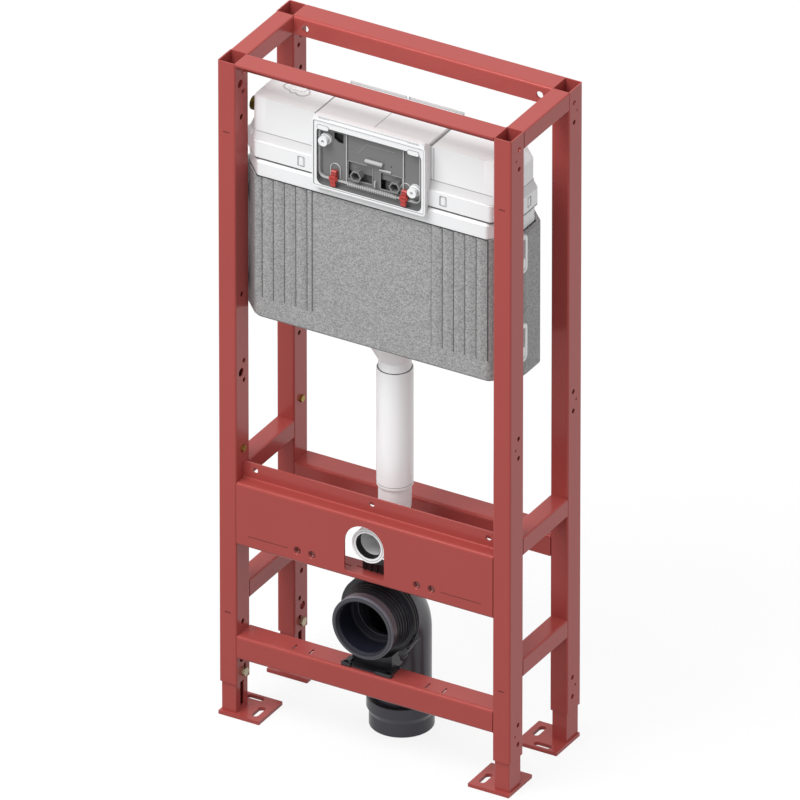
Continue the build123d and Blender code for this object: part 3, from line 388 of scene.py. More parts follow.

# %% [markdown]
# Each imported node takes the finish of its material slot. The waste parts, the inlet and the flush
# pipe have finishes of their own; the flush pipe's brighter white is painted light.

# %% Finishes of the imported nodes
FINISH_OF_SLOT = {
    "red_powder_coat": powder_coat,
    "zinc_steel": zinc,
    "brass": brass,
    "grey_foam": bead_foam,
    "grey_plastic": grey_abs,
    "red_plastic": red_abs,
    "black_plastic": black_polyethylene,
    "white_plastic": white_polypropylene,
}
FINISH_OF_NODE = {
    "waste_bend": slate_polyethylene,
    "waste_adapter": slate_polyethylene,
    "inlet_nipple": dull_brass,
    "flush_pipe": lit_pipe_polypropylene,
    "flush_sleeve": lit_pipe_polypropylene,
    "flush_neck": lit_pipe_polypropylene,
    "flush_ring": lit_pipe_polypropylene,
}
slot_of = {part["node"]: part["material_slot"] for part in frame["record"]["subparts"]}
for name, node in nodes.items():
    node.data.materials.clear()
    node.data.materials.append(FINISH_OF_NODE.get(name, FINISH_OF_SLOT[slot_of[name]]))
print("finishes of", len(FINISH_OF_SLOT), "slots and", len(FINISH_OF_NODE), "nodes")

# %% [markdown]
# The small details are pieces of their own. Their sizes are in millimetres in the frame of the
# imported model, with heights from the floor and depths from the middle, and are turned into metres
# at the end. Each rides on the frame and has a finish of its own.

# %% Shape helpers
SHARP_ANGLE = radians(35)


def plane(origin, across=(1, 0, 0), up=(0, 0, 1)):
    """A matrix whose axes are two directions and their normal; by default it faces the front."""
    across, up = Vector(across), Vector(up)
    return Matrix.Translation(origin) @ Matrix((across, up, across.cross(up))).transposed().to_4x4()


def arc_path(middle, radius, first, last, steps=12):
    """Points along an arc between two angles in degrees."""
    angles = [radians(first + (last - first) * step / steps) for step in range(steps + 1)]
    return [(middle[0] + radius * cos(angle), middle[1] + radius * sin(angle)) for angle in angles]


def rounded_path(low, high, radius, steps=5):
    """Points round a rectangle with rounded corners."""
    middles = (
        (high[0] - radius, high[1] - radius),
        (low[0] + radius, high[1] - radius),
        (low[0] + radius, low[1] + radius),
        (high[0] - radius, low[1] + radius),
    )
    return [
        point
        for turn, middle in enumerate(middles)
        for point in arc_path(middle, radius, 90 * turn, 90 * turn + 90, steps)
    ]


def collar(low, high, inner, outer):
    """A rectangular section between two places along an axis and two radii."""
    return [(low, inner), (low, outer), (high, outer), (high, inner)]


def thread_section(start, pitch, count, base, even, odd):
    """The section of a screw thread, with two radii by turns over a base radius."""
    turns = [(start + pitch * step, odd if step % 2 else even) for step in range(count)]
    return [(start, base), *turns, (turns[-1][0], base)]


def join_rings(mesh, rings, closed=True):
    """Faces from each ring of vertices to the next, and on to the first or with two end caps."""
    pairs = list(zip(rings, rings[1:] + rings[:1]))
    for here, there in pairs if closed else pairs[:-1]:
        for index in range(len(here)):
            mesh.faces.new((here[index - 1], here[index], there[index], there[index - 1]))
    if not closed:
        mesh.faces.new(rings[0])
        mesh.faces.new(rings[-1])


def add_block(mesh, low, high, bevel=0.0, place=None):
    """A block between two corners, with rounded edges where a bevel is given."""
    size = [b - a for a, b in zip(low, high)]
    middle = [(a + b) / 2 for a, b in zip(low, high)]
    matrix = (place or Matrix()) @ Matrix.Translation(middle) @ Matrix.Diagonal((*size, 1.0))
    corners = bmesh.ops.create_cube(mesh, size=1.0, matrix=matrix)["verts"]
    if bevel:
        edges = list({edge for corner in corners for edge in corner.link_edges})
        bmesh.ops.bevel(
            mesh, geom=edges, offset=bevel, affect="EDGES", segments=2, profile=0.5, material=-1
        )


def add_turned(mesh, section, center, axis, segments=72):
    """A ring whose closed section of (along, radius) points is turned about an axis."""
    turn = Vector((0, 0, 1)).rotation_difference(Vector(axis)).to_matrix()
    rings = []
    for step in range(segments):
        angle = 2 * pi * step / segments
        across, up = cos(angle), sin(angle)
        spots = [Vector((radius * across, radius * up, along)) for along, radius in section]
        rings.append([mesh.verts.new(Vector(center) + turn @ spot) for spot in spots])
    join_rings(mesh, rings)


def add_strip(mesh, place, path, width, low, high, closed=True):
    """A strip along a path in a plane, from one height over the plane to another."""
    path = [Vector(point) for point in path]
    rings = []
    for index, point in enumerate(path):
        before = path[index - 1] if closed or index else 2 * point - path[1]
        inside = closed or index < len(path) - 1
        after = path[(index + 1) % len(path)] if inside else 2 * point - path[-2]
        one, two = (point - before).normalized(), (after - point).normalized()
        along = (one + two).normalized()
        reach = Vector((-along.y, along.x)) * width / 2 / max(along.dot(one), 0.5)
        left, right = point - reach, point + reach
        edge = ((left, low), (left, high), (right, high), (right, low))
        rings.append([mesh.verts.new(place @ Vector((*spot, height))) for spot, height in edge])
    join_rings(mesh, rings, closed)


def add_ring(mesh, place, outer, inner, low, high):
    """A flat ring between two closed paths with as many points, from one height to another."""
    rings = []
    for outside, inside in zip(outer, inner):
        edge = ((outside, low), (outside, high), (inside, high), (inside, low))
        rings.append([mesh.verts.new(place @ Vector((*spot, height))) for spot, height in edge])
    join_rings(mesh, rings)


def add_prism(mesh, place, outline, low, high):
    """An outline in a plane, raised from one height to another."""
    ends = [
        [mesh.verts.new(place @ Vector((*spot, height))) for spot in outline]
        for height in (low, high)
    ]
    join_rings(mesh, ends, closed=False)


def finish_piece(mesh, name, material):
    """Turns a mesh in millimetres into a piece that rides on the frame."""
    bmesh.ops.scale(mesh, vec=(MM, MM, MM), verts=mesh.verts)
    bmesh.ops.recalc_face_normals(mesh, faces=mesh.faces)
    data = bpy.data.meshes.new(name)
    mesh.to_mesh(data)
    mesh.free()
    data.shade_smooth()
    data.set_sharp_from_angle(angle=SHARP_ANGLE)
    data.materials.append(material)
    piece = bpy.data.objects.new(name, data)
    bpy.context.scene.collection.objects.link(piece)
    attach(piece, "frame")
    return piece


FRONT = -102.5
TOP = 1116.0
SIDES = (-1, 1)
BACKWARD = (0, 1, 0)
UPWARD = (0, 0, 1)
PROUD = 0.06

level = plane((0, 0, 0), (1, 0, 0), BACKWARD)
print("front plane", FRONT, "top", TOP)

# %% [markdown]
# Marks on the steel: two short engraved dashes on each front post, a pressed line on either side of
# the plate, and the threaded inserts in the holes for the bowl's studs. The dashes and the line are
# dark strips of painted groove shade, and the inserts are painted a darker red as shade in the
# holes.

# %% Marks on the steel
DASH_WIDTH = 10.5
DASH_HEIGHT = 1.8
DASH_DROPS = (118.0, 938.0)
POST_MIDDLE = 235.0
LINE_MIDDLE = 165.5
LINE_LENGTH = 69.0
LINE_HEIGHT = 1.0
MARK_DEPTH = 0.5
STUD_HEIGHT = 318.5
STUD_REACHES = (90.0, 115.0)

marks = bmesh.new()
for side in SIDES:
    spots = [(side * POST_MIDDLE, TOP - drop, DASH_WIDTH, DASH_HEIGHT) for drop in DASH_DROPS]
    spots.append((side * LINE_MIDDLE, STUD_HEIGHT, LINE_LENGTH, LINE_HEIGHT))
    for x, z, width, height in spots:
        add_block(
            marks,
            (x - width / 2, FRONT - PROUD, z - height / 2),
            (x + width / 2, FRONT + MARK_DEPTH, z + height / 2),
        )
# The dashes and lines are dark strips of painted groove shade.
finish_piece(marks, "engraved_marks", shaded_coat)

insert_thread = thread_section(1.5, 0.5, 13, base=6.2, even=4.9, odd=4.4)
inserts = bmesh.new()
for side in SIDES:
    for reach in STUD_REACHES:
        add_turned(inserts, insert_thread, (side * reach, FRONT, STUD_HEIGHT), BACKWARD, 32)
# The inserts are painted a darker red as the shade in their holes.
finish_piece(inserts, "stud_inserts", thread_shade_coat)
print("steel details done")

# %% [markdown]
# The hood of the tank: its front corners are filled out to small radii and flare into the skirt
# between the band and the hood, which is painted a greyer white as its shade.

# %% Hood
BAND_TOP = 983.0
SEAM_HEIGHT = 995.5
HOOD_TOP = 1053.0
HOOD_FRONT = -70.5
CORNER_REACH = 209.5
CORNER_CORE = (186.0, -46.0)
CORNER_LEVELS = (
    (BAND_TOP, 214.0, -75.2, 16.0),
    (SEAM_HEIGHT, CORNER_REACH, HOOD_FRONT - 0.1, 9.0),
    (HOOD_TOP - 3.0, CORNER_REACH - 0.5, HOOD_FRONT - 0.1, 9.0),
    (HOOD_TOP - 0.8, CORNER_REACH - 1.3, HOOD_FRONT + 0.8, 8.5),
    (HOOD_TOP + 0.1, CORNER_REACH - 3.5, HOOD_FRONT + 3.0, 7.0),
)
SKIRT_LEVELS = (
    (BAND_TOP - 1.0, 230.7, -75.2, 40.6, 36.0, 34.0),
    (SEAM_HEIGHT - 0.4, 226.2, -70.7, 40.6, 36.0, 34.0),
    (BAND_TOP, 224.0, -68.0, 38.0, 35.0, 33.0),
)


def octagon(half, front_y, back_y, front_cut, back_cut):
    """The cistern's plan, a rectangle with cut corners."""
    return [
        (front_cut - half, front_y),
        (half - front_cut, front_y),
        (half, front_y + front_cut),
        (half, back_y - back_cut),
        (half - back_cut, back_y),
        (back_cut - half, back_y),
        (-half, back_y - back_cut),
        (-half, front_y + front_cut),
    ]


def add_corners(mesh, levels):
    """Fills the two front corners of the hood through the given levels."""
    core_x, core_y = CORNER_CORE
    for side in SIDES:
        rings = []
        for height, reach, front_y, radius in levels:
            turn = arc_path((reach - radius, front_y + radius), radius, 0, -90, 6)
            path = [CORNER_CORE, (reach, core_y), *turn, (core_x, front_y)]
            rings.append([mesh.verts.new((side * x, y, height)) for x, y in path])
        join_rings(mesh, rings, closed=False)


corners = bmesh.new()
add_corners(corners, CORNER_LEVELS[1:])
finish_piece(corners, "hood_corners", white_polypropylene)

skirt = bmesh.new()
add_corners(skirt, CORNER_LEVELS[:2])
paths = [[(x, y, height) for x, y in octagon(*plan)] for height, *plan in SKIRT_LEVELS]
join_rings(skirt, [[skirt.verts.new(spot) for spot in spots] for spots in zip(*paths)])
# The skirt's greyer white is painted shade.
finish_piece(skirt, "hood_skirt", skirt_shade_polypropylene)
print("hood done")

# %% [markdown]
# Seams and joints of the tank: a seam runs round the hood where the skirt begins, and joints run
# under the band and under the lip. The raised block has a seam along its middle and joints at its
# sides. Catches show as small windows on the front and the ends of the band. All of them are grey
# or dark strips of painted shade.

# %% Seams and joints
BLOCK_TOP = 1058.0
BLOCK_SEAM = ((0.5, -79.0), (1.7, 26.0))
BLOCK_JOINTS = ((-102.2, -99.2), (95.1, 98.6))
BLOCK_JOINT_BACK = 26.4
FACE_JOINT = (100.4, 101.4)
FACE_JOINT_SPAN = (957.0, 1050.0)
FRONT_CATCH = (121.0, 5.8)
FRONT_CATCH_SPAN = (961.0, 977.0)
END_REACH = 232.0
END_CATCH = ((-21.5, 978.0), (-12.0, 978.0), (-12.0, 963.0), (-21.5, 963.0))

right_side = [
    (CORNER_REACH - 9.0, HOOD_FRONT),
    (CORNER_REACH - 2.6, HOOD_FRONT + 2.6),
    (CORNER_REACH, HOOD_FRONT + 9.0),
    (CORNER_REACH, -51.0),
    (226.0, -34.5),
    (226.0, 6.5),
    (192.0, 40.5),
]
seam_path = right_side + [(-x, y) for x, y in reversed(right_side)]
seams = bmesh.new()
add_strip(seams, level, seam_path, 0.6, SEAM_HEIGHT - 0.4, SEAM_HEIGHT + 0.6)
add_block(seams, (*BLOCK_SEAM[0], BLOCK_TOP - 0.5), (*BLOCK_SEAM[1], BLOCK_TOP + PROUD))
for low, high in BLOCK_JOINTS:
    add_block(
        seams, (low, HOOD_FRONT, HOOD_TOP - 1.0), (high, BLOCK_JOINT_BACK, HOOD_TOP + 0.1)
    )
for side in SIDES:
    low, high = sorted(side * reach for reach in FACE_JOINT)
    add_block(
        seams,
        (low, HOOD_FRONT - PROUD, FACE_JOINT_SPAN[0]),
        (high, HOOD_FRONT, FACE_JOINT_SPAN[1]),
    )
    middle, half = side * FRONT_CATCH[0], FRONT_CATCH[1]
    low, high = [(x, z) for x, z in zip((middle - half, middle + half), FRONT_CATCH_SPAN)]
    catch = rounded_path(low, high, 0.8, 1)
    add_strip(seams, plane((0, FRONT + 24.0, 0)), catch, 0.8, -0.3, PROUD)
    end_face = plane((side * END_REACH, 0, 0), (0, side, 0))
    catch = [(side * y, z) for y, z in END_CATCH]
    add_strip(seams, end_face, catch, 1.0, -0.3, PROUD, closed=False)
# The seams, joints and catch outlines are grey strips of painted shade.
finish_piece(seams, "tank_seams", grey_polypropylene_painted_shade_and_highlight)

band_groove_shade = bmesh.new()
add_strip(band_groove_shade, level, octagon(230.6, -77.1, 39.1, 31.0, 31.0), 1.6, 953.1, 955.4)
# Painted shade in the groove under the band.
finish_piece(band_groove_shade, "band_groove_shade", groove_shade_foam)

shell_gap_shade = bmesh.new()
add_strip(shell_gap_shade, level, octagon(228.4, -80.4, 34.6, 33.2, 27.2), 1.4, 925.4, 926.4)
# Painted shade in the gap between the lip and the shell.
finish_piece(shell_gap_shade, "shell_gap_shade", black_rubber_and_painted_shade)
print("seams done")

# %% [markdown]
# The top of the tank: a grey trim with a gap and small ticks stands on the back rim of the block,
# and a cloud shaped boss with a pad lies on the left of the hood.

# %% Trim and boss
TRIM_SPANS = ((-97.0, -1.5), (5.0, 97.0))
TICKS = (-96.0, -84.0, 84.0, 92.0)
CLOUD_HEIGHT = 0.6

trim = bmesh.new()
for low, high in TRIM_SPANS:
    add_block(trim, (low, 25.6, BLOCK_TOP - 1.0), (high, 27.0, BLOCK_TOP + 4.2), 0.4)
finish_piece(trim, "rim_trim", pale_abs_and_highlight)

ticks = bmesh.new()
add_block(ticks, (2.8, 26.2, BLOCK_TOP), (4.4, 27.6, BLOCK_TOP + 4.0))
for x in TICKS:
    add_block(ticks, (x - 0.6, 25.4, BLOCK_TOP + 0.6), (x + 0.6, 25.8, BLOCK_TOP + 2.2))
add_block(ticks, (-97.0, 25.2, BLOCK_TOP - 0.6), (97.0, 25.7, BLOCK_TOP + 0.3))
finish_piece(ticks, "rim_ticks", grey_polypropylene_painted_shade_and_highlight)

outline = bmesh.new()
cloud = [
    *arc_path((-174.0, -20.0), 9.0, 100, 260, 8),
    *arc_path((-161.5, -30.0), 6.0, 200, 320, 5),
    *arc_path((-147.5, -27.5), 10.5, 215, 400, 10),
    *arc_path((-158.0, -13.0), 9.0, 30, 150, 6),
]
add_strip(outline, level, cloud, 2.2, HOOD_TOP, HOOD_TOP + CLOUD_HEIGHT)
finish_piece(outline, "boss_outline", pale_abs_and_highlight)

pad = bmesh.new()
add_block(pad, (-172.0, -27.0, HOOD_TOP), (-146.0, -14.0, HOOD_TOP + 1.6), 1.5)
finish_piece(pad, "boss_pad", white_polypropylene)
print("trim and boss done")

# %% [markdown]
# The foam shell: the bottoms of its front grooves slope to a deep slit along the right edge of
# each, drawn as a dark strip of painted shade, and a dark edge runs on either side of the middle
# panel.

# %% Shell grooves
GROOVE_FIRST = 115.5
GROOVE_PITCH = 19.2
GROOVE_COUNT = 5
GROOVE_HALF = 6.2
SLIT_WIDTH = 1.2
SHELL_EDGE = -202.0
SHELL_FACE = -80.5
PANEL_EDGES = (-102.4, 101.6)

slopes = bmesh.new()
slits = bmesh.new()
for step in range(GROOVE_COUNT):
    reach = GROOVE_FIRST + GROOVE_PITCH * step
    for middle in (-reach, reach):
        low, high = middle - GROOVE_HALF, middle + GROOVE_HALF - 0.1
        slit = high - SLIT_WIDTH
        if low > SHELL_EDGE:
            wedge = [(low, SHELL_FACE), (low, -77.4), (slit, -77.4)]
            add_prism(slopes, level, wedge, 720.1, 926.0)
        add_block(slits, (slit, SHELL_FACE, 720.5), (high, -77.2, 925.6))
finish_piece(slopes, "groove_slopes", bead_foam)
# The slits are dark strips of painted shade.
finish_piece(slits, "shell_slits", groove_shade_foam)

panel_edges = bmesh.new()
for x in PANEL_EDGES:
    add_block(panel_edges, (x, -80.6, 720.5), (x + 0.9, -78.0, 925.6))
finish_piece(panel_edges, "panel_edges", grey_abs)
print("grooves", 2 * GROOVE_COUNT)

# %% [markdown]
# At the ends of the tank: the thread of the inlet on the left, and white clips, each a rounded loop
# with a filled upper end, that hold the shell at the posts.

# %% Inlet and clips
NIPPLE_START = (-226.0, FRONT + 80.0, TOP - 106.0)
CLIP_REACH = 238.0
CLIP_SPAN = (-62.2, -37.6)
CLIP_HEIGHTS = (898.0, 748.4)
CLIP_THICKNESS = 3.5

thread = bmesh.new()
nipple_section = thread_section(1.2, 0.7, 12, base=9.8, even=10.3, odd=11.0)
add_turned(thread, nipple_section, NIPPLE_START, (-1, 0, 0), 48)
finish_piece(thread, "nipple_thread", dull_brass)

clips = bmesh.new()
for side in SIDES:
    face = plane((side * CLIP_REACH, 0, 0), (0, side, 0))
    low, high = sorted(side * y for y in CLIP_SPAN)
    for height in CLIP_HEIGHTS:
        loop = rounded_path((low + 3.0, height - 28.0), (high - 3.0, height + 28.0), 5.0)
        add_strip(clips, face, loop, 6.0, 0.0, CLIP_THICKNESS)
        add_block(
            clips,
            (low + 5.5, height - 26.0, 0.0),
            (high - 5.5, height - 8.0, CLIP_THICKNESS),
            place=face,
        )
clips = finish_piece(clips, "post_clips", white_polypropylene)
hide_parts("side_clips")
print("inlet and clips done")

# %% [markdown]
# The service opening: a white frame with a raised border and a tab in each upper corner, a grey
# lining that narrows it to the cover and paints the shade on the opening's inner wall, and fine
# grooves round the border, the tabs and the lip over it, drawn as grey strips of painted shade.

# %% Service opening
OPENING_LOW, OPENING_HIGH = (-88.0, 953.0), (88.0, 1044.3)
WIDE_LOW, WIDE_HIGH = (-88.0, 946.8), (90.6, 1044.4)
WIDE_RADIUS = 10.0
TAB_REACH = 77.0

face = plane((0, FRONT + 12.5, 0))
wide = rounded_path(WIDE_LOW, WIDE_HIGH, WIDE_RADIUS)
opening = bmesh.new()
add_ring(opening, face, rounded_path((-94.0, 942.5), (95.6, 1063.0), 5.0), wide, -9.6, 0.0)
border = rounded_path((-95.6, 941.9), (97.4, 1056.8), 5.5)
add_ring(opening, face, border, rounded_path((-93.2, 944.3), (95.0, 1054.4), 3.6), -3.0, 1.1)
for side in SIDES:
    middle = side * TAB_REACH
    tab = rounded_path((middle - 9.5, 1040.3), (middle + 9.5, 1047.3), 3.0, 3)
    add_prism(opening, face, tab, -4.0, 0.8)
opening = finish_piece(opening, "opening_frame", white_polypropylene)
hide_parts("service_frame")

lining = bmesh.new()
grown, shrunk = (
    rounded_path(
        (WIDE_LOW[0] - more, WIDE_LOW[1] - more),
        (WIDE_HIGH[0] + more, WIDE_HIGH[1] + more),
        WIDE_RADIUS + more,
    )
    for more in (1.0, -0.3)
)
add_ring(lining, face, grown, shrunk, -9.4, -0.5)
add_ring(lining, face, grown, rounded_path(OPENING_LOW, OPENING_HIGH, WIDE_RADIUS), -9.7, -8.6)
# The lining's grey on the inner wall is painted shade.
finish_piece(lining, "opening_lining_painted_shade", grey_abs)

grooves = bmesh.new()
outside = rounded_path((-93.3, 944.2), (95.1, 1054.5), 3.7)
add_ring(grooves, face, outside, rounded_path((-92.0, 945.5), (93.8, 1053.2), 2.8), -0.3, 0.12)
for side in SIDES:
    middle = side * TAB_REACH
    tab = rounded_path((middle - 10.0, 1039.9), (middle + 10.0, 1047.7), 3.4, 3)
    add_strip(grooves, face, tab, 0.8, -0.2, 0.5)
add_block(grooves, (-84.0, -90.12, 1060.2), (86.5, -89.0, 1060.9))
for low, high in ((-84.0, -66.0), (66.5, 86.5)):
    add_block(grooves, (low, -90.12, 1058.4), (high, -89.0, 1059.0))
add_block(grooves, (-84.0, -90.14, 1058.4), (-83.2, -89.0, 1060.9))
# The grooves are grey strips of painted shade.
finish_piece(grooves, "catch_grooves", grey_polypropylene_painted_shade_and_highlight)
print("service opening done")

# %% [markdown]
# The splash cover in the opening: its raised rim, upright ribs, arches over the latches, a hatched
# strip, the grip with its lip and a guide pin, all painted a paler grey than the cover as highlight.
# Rings lie round the knobs and thin edges round the windows, painted a lighter grey as highlight.
# Behind stand dark plates and a dark dot, painted shade behind the windows and the spyhole.

# %% Splash cover
RIM_LOW, RIM_HIGH = (-86.0, 958.0), (86.0, 1042.0)
RIB_SPOTS = (-41.0, 56.0)
LATCH_REACH = 60.0
LATCH_HEAD = 976.0
ARCH_RADIUS = 8.2
ARCH_FOOT = 961.0
HATCH_START = -38.0
HATCH_PITCH = 3.7
HATCH_COUNT = 23
KNOBS = ((-75.7, 1022.2), (75.7, 977.0))
KNOB_RINGS = ((-3.1, 9.9), (-7.0, 7.8), (-12.3, 5.0))
WINDOWS = (((-39.0, 965.0), (3.0, 995.0)), ((16.0, 962.0), (54.0, 991.0)))
FOLD = ((-22.0, 1012.0), (-8.0, 1030.0), (40.0, 1030.0))

cover = plane((0, FRONT + 20.5, 0))
panel = plane((0, FRONT + 21.5, 0))
rim = bmesh.new()
add_strip(rim, cover, rounded_path(RIM_LOW, RIM_HIGH, 9.0), 1.5, -0.5, 4.0)
for x in RIB_SPOTS:
    add_block(rim, (x - 0.8, FRONT + 19.5, RIM_LOW[1]), (x + 0.8, FRONT + 21.0, RIM_HIGH[1]))
for side in SIDES:
    x = side * LATCH_REACH
    arch = [
        (x + ARCH_RADIUS, ARCH_FOOT),
        *arc_path((x, LATCH_HEAD), ARCH_RADIUS, 0, 180, 12),
        (x - ARCH_RADIUS, ARCH_FOOT),
    ]
    add_strip(rim, panel, arch, 1.1, -0.3, 1.6, closed=False)
for step in range(HATCH_COUNT):
    x = HATCH_START + HATCH_PITCH * step
    add_block(rim, (x, FRONT + 16.2, 955.0), (x + 1.6, FRONT + 18.0, 961.0))
add_block(rim, (-8.6, FRONT + 15.6, TOP - 113.4), (21.6, FRONT + 20.9, TOP - 108.4), 1.6)
add_block(rim, (15.0, FRONT + 19.0, TOP - 122.5), (35.0, FRONT + 21.6, TOP - 119.8), 0.6)
add_block(rim, (7.2, FRONT + 16.5, 964.0), (9.2, FRONT + 21.6, 974.0), 0.6)
# The rim, ribs, arches, strip, grip, lip and pin are painted a paler grey than the cover as
# highlight.
finish_piece(rim, "cover_rim", pale_abs_and_highlight)

edges = bmesh.new()
for x, z in KNOBS:
    for along, radius in KNOB_RINGS:
        ring = collar(along, along + 0.5, radius - 0.8, radius)
        add_turned(edges, ring, (x, FRONT + 21.5, z), BACKWARD, 32)
for low, high in WINDOWS:
    add_strip(edges, panel, rounded_path(low, high, 1.2, 2), 1.1, -0.4, 0.9)
add_strip(edges, panel, FOLD, 0.8, -0.3, 0.3, closed=False)
# The rings, window edges and fold line are painted a lighter grey as highlight.
finish_piece(edges, "window_edges", grey_polypropylene_painted_shade_and_highlight)

shade = bmesh.new()
add_block(shade, (-70.0, FRONT + 27.0, TOP - 100.0), (-44.0, FRONT + 29.0, TOP - 76.0))
add_block(shade, (-43.0, FRONT + 40.0, 958.0), (58.0, FRONT + 42.0, 1000.0))
add_turned(shade, collar(0.0, 0.2, 0.01, 1.1), (34.5, FRONT + 21.3, 1004.3), BACKWARD, 16)
# Painted shade: dark plates and a dot behind the cover's windows and spyhole.
finish_piece(shade, "valve_shade", black_rubber_and_painted_shade)
print("splash cover done")

# %% [markdown]
# The latches: slim red clips whose outline is stepped where it is seen from the side, each with a
# cross bar and teeth painted a dark red as shade.

# %% Latches
LATCH_HALF = 4.2
LATCH_OUTLINE = (
    (-82.0, 973.5),
    (-86.6, 974.5),
    (-88.4, 973.0),
    (-88.8, 968.2),
    (-87.6, 967.6),
    (-90.2, 966.8),
    (-90.6, 962.4),
    (-89.2, 961.8),
    (-91.6, 961.0),
    (-91.9, 957.0),
    (-90.6, 956.2),
    (-91.2, 949.8),
    (-88.6, 949.8),
    (-87.6, 955.4),
    (-82.0, 957.0),
)
TEETH = ((971.2, -88.9), (967.4, -89.3), (961.4, -91.0))

teeth = bmesh.new()
for name, side in (("latch_left", -1), ("latch_right", 1)):
    latch = bmesh.new()
    x = side * LATCH_REACH
    add_prism(latch, plane((x, 0, 0), BACKWARD), LATCH_OUTLINE, -LATCH_HALF, LATCH_HALF)
    add_block(latch, (x - 7.4, -90.2, 957.8), (x + 6.0, -85.0, 964.4), 0.8)
    latch = finish_piece(latch, name + "_clip", red_abs)
    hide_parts(name)
    for z, y in TEETH:
        add_block(teeth, (x - LATCH_HALF - 0.1, y, z), (x + LATCH_HALF + 0.1, y + 2.5, z + 0.7))
# The teeth are painted a dark red as shade.
finish_piece(teeth, "latch_teeth", thread_shade_coat)
print("latches done")

# %% [markdown]
# The push tubes: two hexagonal sleeves on a common plate, with thin lips round their mouths painted
# a lighter grey as highlight.

# %% Push tubes
TUBES = ((-23.1, 974.6), (43.2, 974.2))
TUBE_RADII = (9.4, 7.6)
TUBE_LENGTH = 20.0

tubes = bmesh.new()
lips = bmesh.new()
for x, z in TUBES:
    mouth = plane((x, FRONT + 15.0, z))
    outer, inner = (arc_path((0.0, 0.0), radius, 0, 300, 5) for radius in TUBE_RADII)
    add_ring(tubes, mouth, outer, inner, -TUBE_LENGTH, 0.0)
    add_strip(lips, mouth, outer, 0.6, -0.8, 0.2)
    add_strip(lips, mouth, inner, 0.5, -0.8, 0.2)
add_block(tubes, (-40.0, FRONT + 25.0, 977.0), (55.0, FRONT + 25.8, 996.0), 0.2)
tubes = finish_piece(tubes, "hexagonal_tubes", grey_abs)
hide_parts("push_tubes")
# The lips are painted a lighter grey as highlight.
finish_piece(lips, "tube_lips", grey_polypropylene_painted_shade_and_highlight)
print("push tubes done")

# %% [markdown]
# The flush side: a seal in the ring behind the plate and one at the head of the sleeve, and fine
# lines of painted shade on the ring and at the foot of the sleeve.

# %% Flush details
FLUSH_MOUTH = (0, FRONT + 12.0, 353.2)
FLUSH_DEPTH = -10.9
SLEEVE_LOW = (0, FLUSH_DEPTH, 424.0)
SLEEVE_HIGH = (0, FLUSH_DEPTH, 621.0)

seals = bmesh.new()
add_turned(seals, collar(1.0, 13.0, 20.2, 21.4), FLUSH_MOUTH, BACKWARD)
add_turned(seals, collar(0.0, 1.6, 23.0, 25.6), SLEEVE_HIGH, UPWARD)
finish_piece(seals, "flush_seals", black_rubber_and_painted_shade)

lines = bmesh.new()
add_turned(lines, collar(-0.1, 0.5, 24.4, 25.1), FLUSH_MOUTH, BACKWARD)
add_turned(lines, collar(4.0, 4.8, 27.5, 27.86), SLEEVE_LOW, UPWARD)
# The lines are grey rings of painted shade.
finish_piece(lines, "flush_lines", grey_polypropylene_painted_shade_and_highlight)
print("flush details done")

# %% [markdown]
# The waste mouth: a rounded rim, a funnel and a dark blue liner inside, the edge of the bend behind
# them, and a warm dark body outside. Fine ridges on the rim and a ring on the bend's edge are
# painted pale as highlight.

# %% Waste mouth
WASTE_HEIGHT = 221.0
MOUTH = (0, FRONT - 7.0, WASTE_HEIGHT)
ROUND = 96
RIM_SECTION = (
    (2.4, 45.6), (0.4, 45.8), (-0.2, 46.6), (-0.3, 48.0), (-0.1, 49.8), (0.8, 50.9), (2.4, 51.0)
)
FUNNEL_SECTION = ((0.9, 45.0), (1.0, 46.0), (7.0, 44.6), (7.0, 43.0))
RIM_LINES = (0.9, 3.0, 5.1)

mouth_rim = bmesh.new()
add_turned(mouth_rim, RIM_SECTION, MOUTH, BACKWARD, ROUND)
finish_piece(mouth_rim, "mouth_rim", slate_polyethylene)

funnel = bmesh.new()
add_turned(funnel, FUNNEL_SECTION, MOUTH, BACKWARD, ROUND)
finish_piece(funnel, "mouth_funnel", slate_polyethylene)

liner = bmesh.new()
add_turned(liner, collar(7.0, 42.0, 42.9, 44.8), MOUTH, BACKWARD, ROUND)
finish_piece(liner, "mouth_liner", navy_polyethylene)

lines = bmesh.new()
for along in RIM_LINES:
    line = [(along, 50.6), (along + 0.4, 51.7), (along + 0.8, 50.6)]
    add_turned(lines, line, MOUTH, BACKWARD, ROUND)
add_turned(lines, collar(58.0, 58.6, 39.6, 40.1), MOUTH, BACKWARD, ROUND)
# The ridges and the ring are painted pale as highlight.
finish_piece(lines, "mouth_lines", highlight_polyethylene)

body = bmesh.new()
add_turned(body, collar(2.4, 18.0, 50.3, 51.0), MOUTH, BACKWARD, ROUND)
finish_piece(body, "mouth_body", umber_polyethylene)
print("waste mouth done")

# %% [markdown]
# Behind the mouth, ridges grow towards the collar, ribs run round the strap, and lugs stand on the
# holder. The toggle of the strap sits at its lower right.

# %% Ridges and toggle
RIDGE_START = 20.0
RIDGE_PITCH = 5.4
RIDGE_COUNT = 5
RIDGE_RADIUS = 51.0
RIDGE_GROWTH = 1.3
STRAP_START = (0, FRONT + 40.0, WASTE_HEIGHT)
STRAP_RIBS = (1.2, 6.6, 12.0)
LUGS = ((-43.0, -27.0), (16.0, 43.0))
TOGGLE_ANGLE = radians(-35)
TOGGLE_RADIUS = 63.0

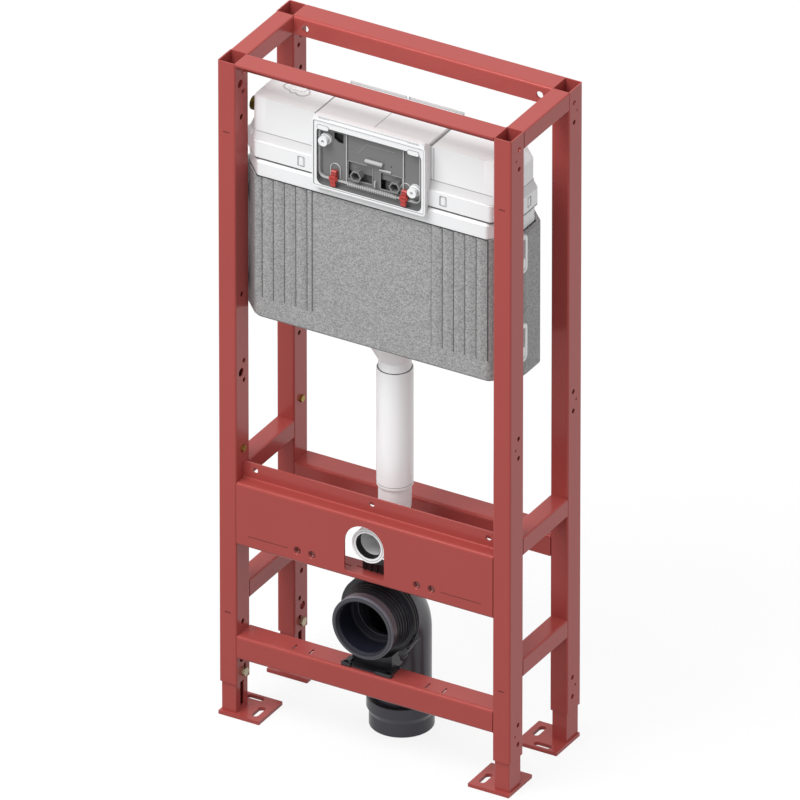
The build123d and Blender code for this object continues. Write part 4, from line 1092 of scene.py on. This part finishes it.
ridges = bmesh.new()
add_turned(ridges, collar(58.5, 61.0, 39.8, 41.5), MOUTH, BACKWARD, ROUND)
for step in range(RIDGE_COUNT):
    along = RIDGE_START + RIDGE_PITCH * step
    radius = RIDGE_RADIUS + RIDGE_GROWTH * step
    ridge = [(along, 47.5), (along + 0.3, radius), (along + 2.2, radius + 0.4), (along + 2.6, 47.5)]
    add_turned(ridges, ridge, MOUTH, BACKWARD, ROUND)
for along in STRAP_RIBS:
    rib = [(along, 62.0), (along + 0.4, 63.9), (along + 1.4, 63.9), (along + 1.8, 62.0)]
    add_turned(ridges, rib, STRAP_START, BACKWARD, ROUND)
for low, high in LUGS:
    add_block(ridges, (low, -98.0, 141.0), (high, -90.0, 147.0), 0.8)
finish_piece(ridges, "ribs_and_lugs", black_polyethylene)

radial = Vector((cos(TOGGLE_ANGLE), 0, sin(TOGGLE_ANGLE)))
tangent = Vector((-sin(TOGGLE_ANGLE), 0, cos(TOGGLE_ANGLE)))
place = plane(Vector(STRAP_START) + TOGGLE_RADIUS * radial, tangent, radial)
toggle = bmesh.new()
add_block(toggle, (-15.0, 0.0, -16.0), (7.0, 8.0, 1.0), 1.5, place)
add_block(toggle, (5.0, 3.5, -13.0), (21.0, 7.0, -2.0), 1.0, place)
add_block(toggle, (-21.0, 5.0, -12.0), (-9.0, 11.0, -4.0), 1.2, place)
finish_piece(toggle, "strap_toggle", black_polyethylene)
print("ridges and toggle done")

# %% [markdown]
# The adapter's socket at the foot of the waste has a rounded rim with a rubber gasket inside it.

# %% Adapter
ADAPTER_FOOT = (0, 9.5, 0)
SOCKET_RIM = ((49.6, 50.2), (49.6, 53.5), (50.8, 53.3), (51.2, 52.0), (50.8, 50.2))
GASKET = ((49.0, 45.2), (49.0, 49.6), (50.9, 49.0), (51.6, 47.0), (50.4, 45.2))

socket = bmesh.new()
add_turned(socket, SOCKET_RIM, ADAPTER_FOOT, UPWARD, ROUND)
finish_piece(socket, "adapter_rim", slate_polyethylene)

gasket = bmesh.new()
add_turned(gasket, GASKET, ADAPTER_FOOT, UPWARD, ROUND)
finish_piece(gasket, "adapter_gasket", black_rubber_and_painted_shade)
print("adapter done")
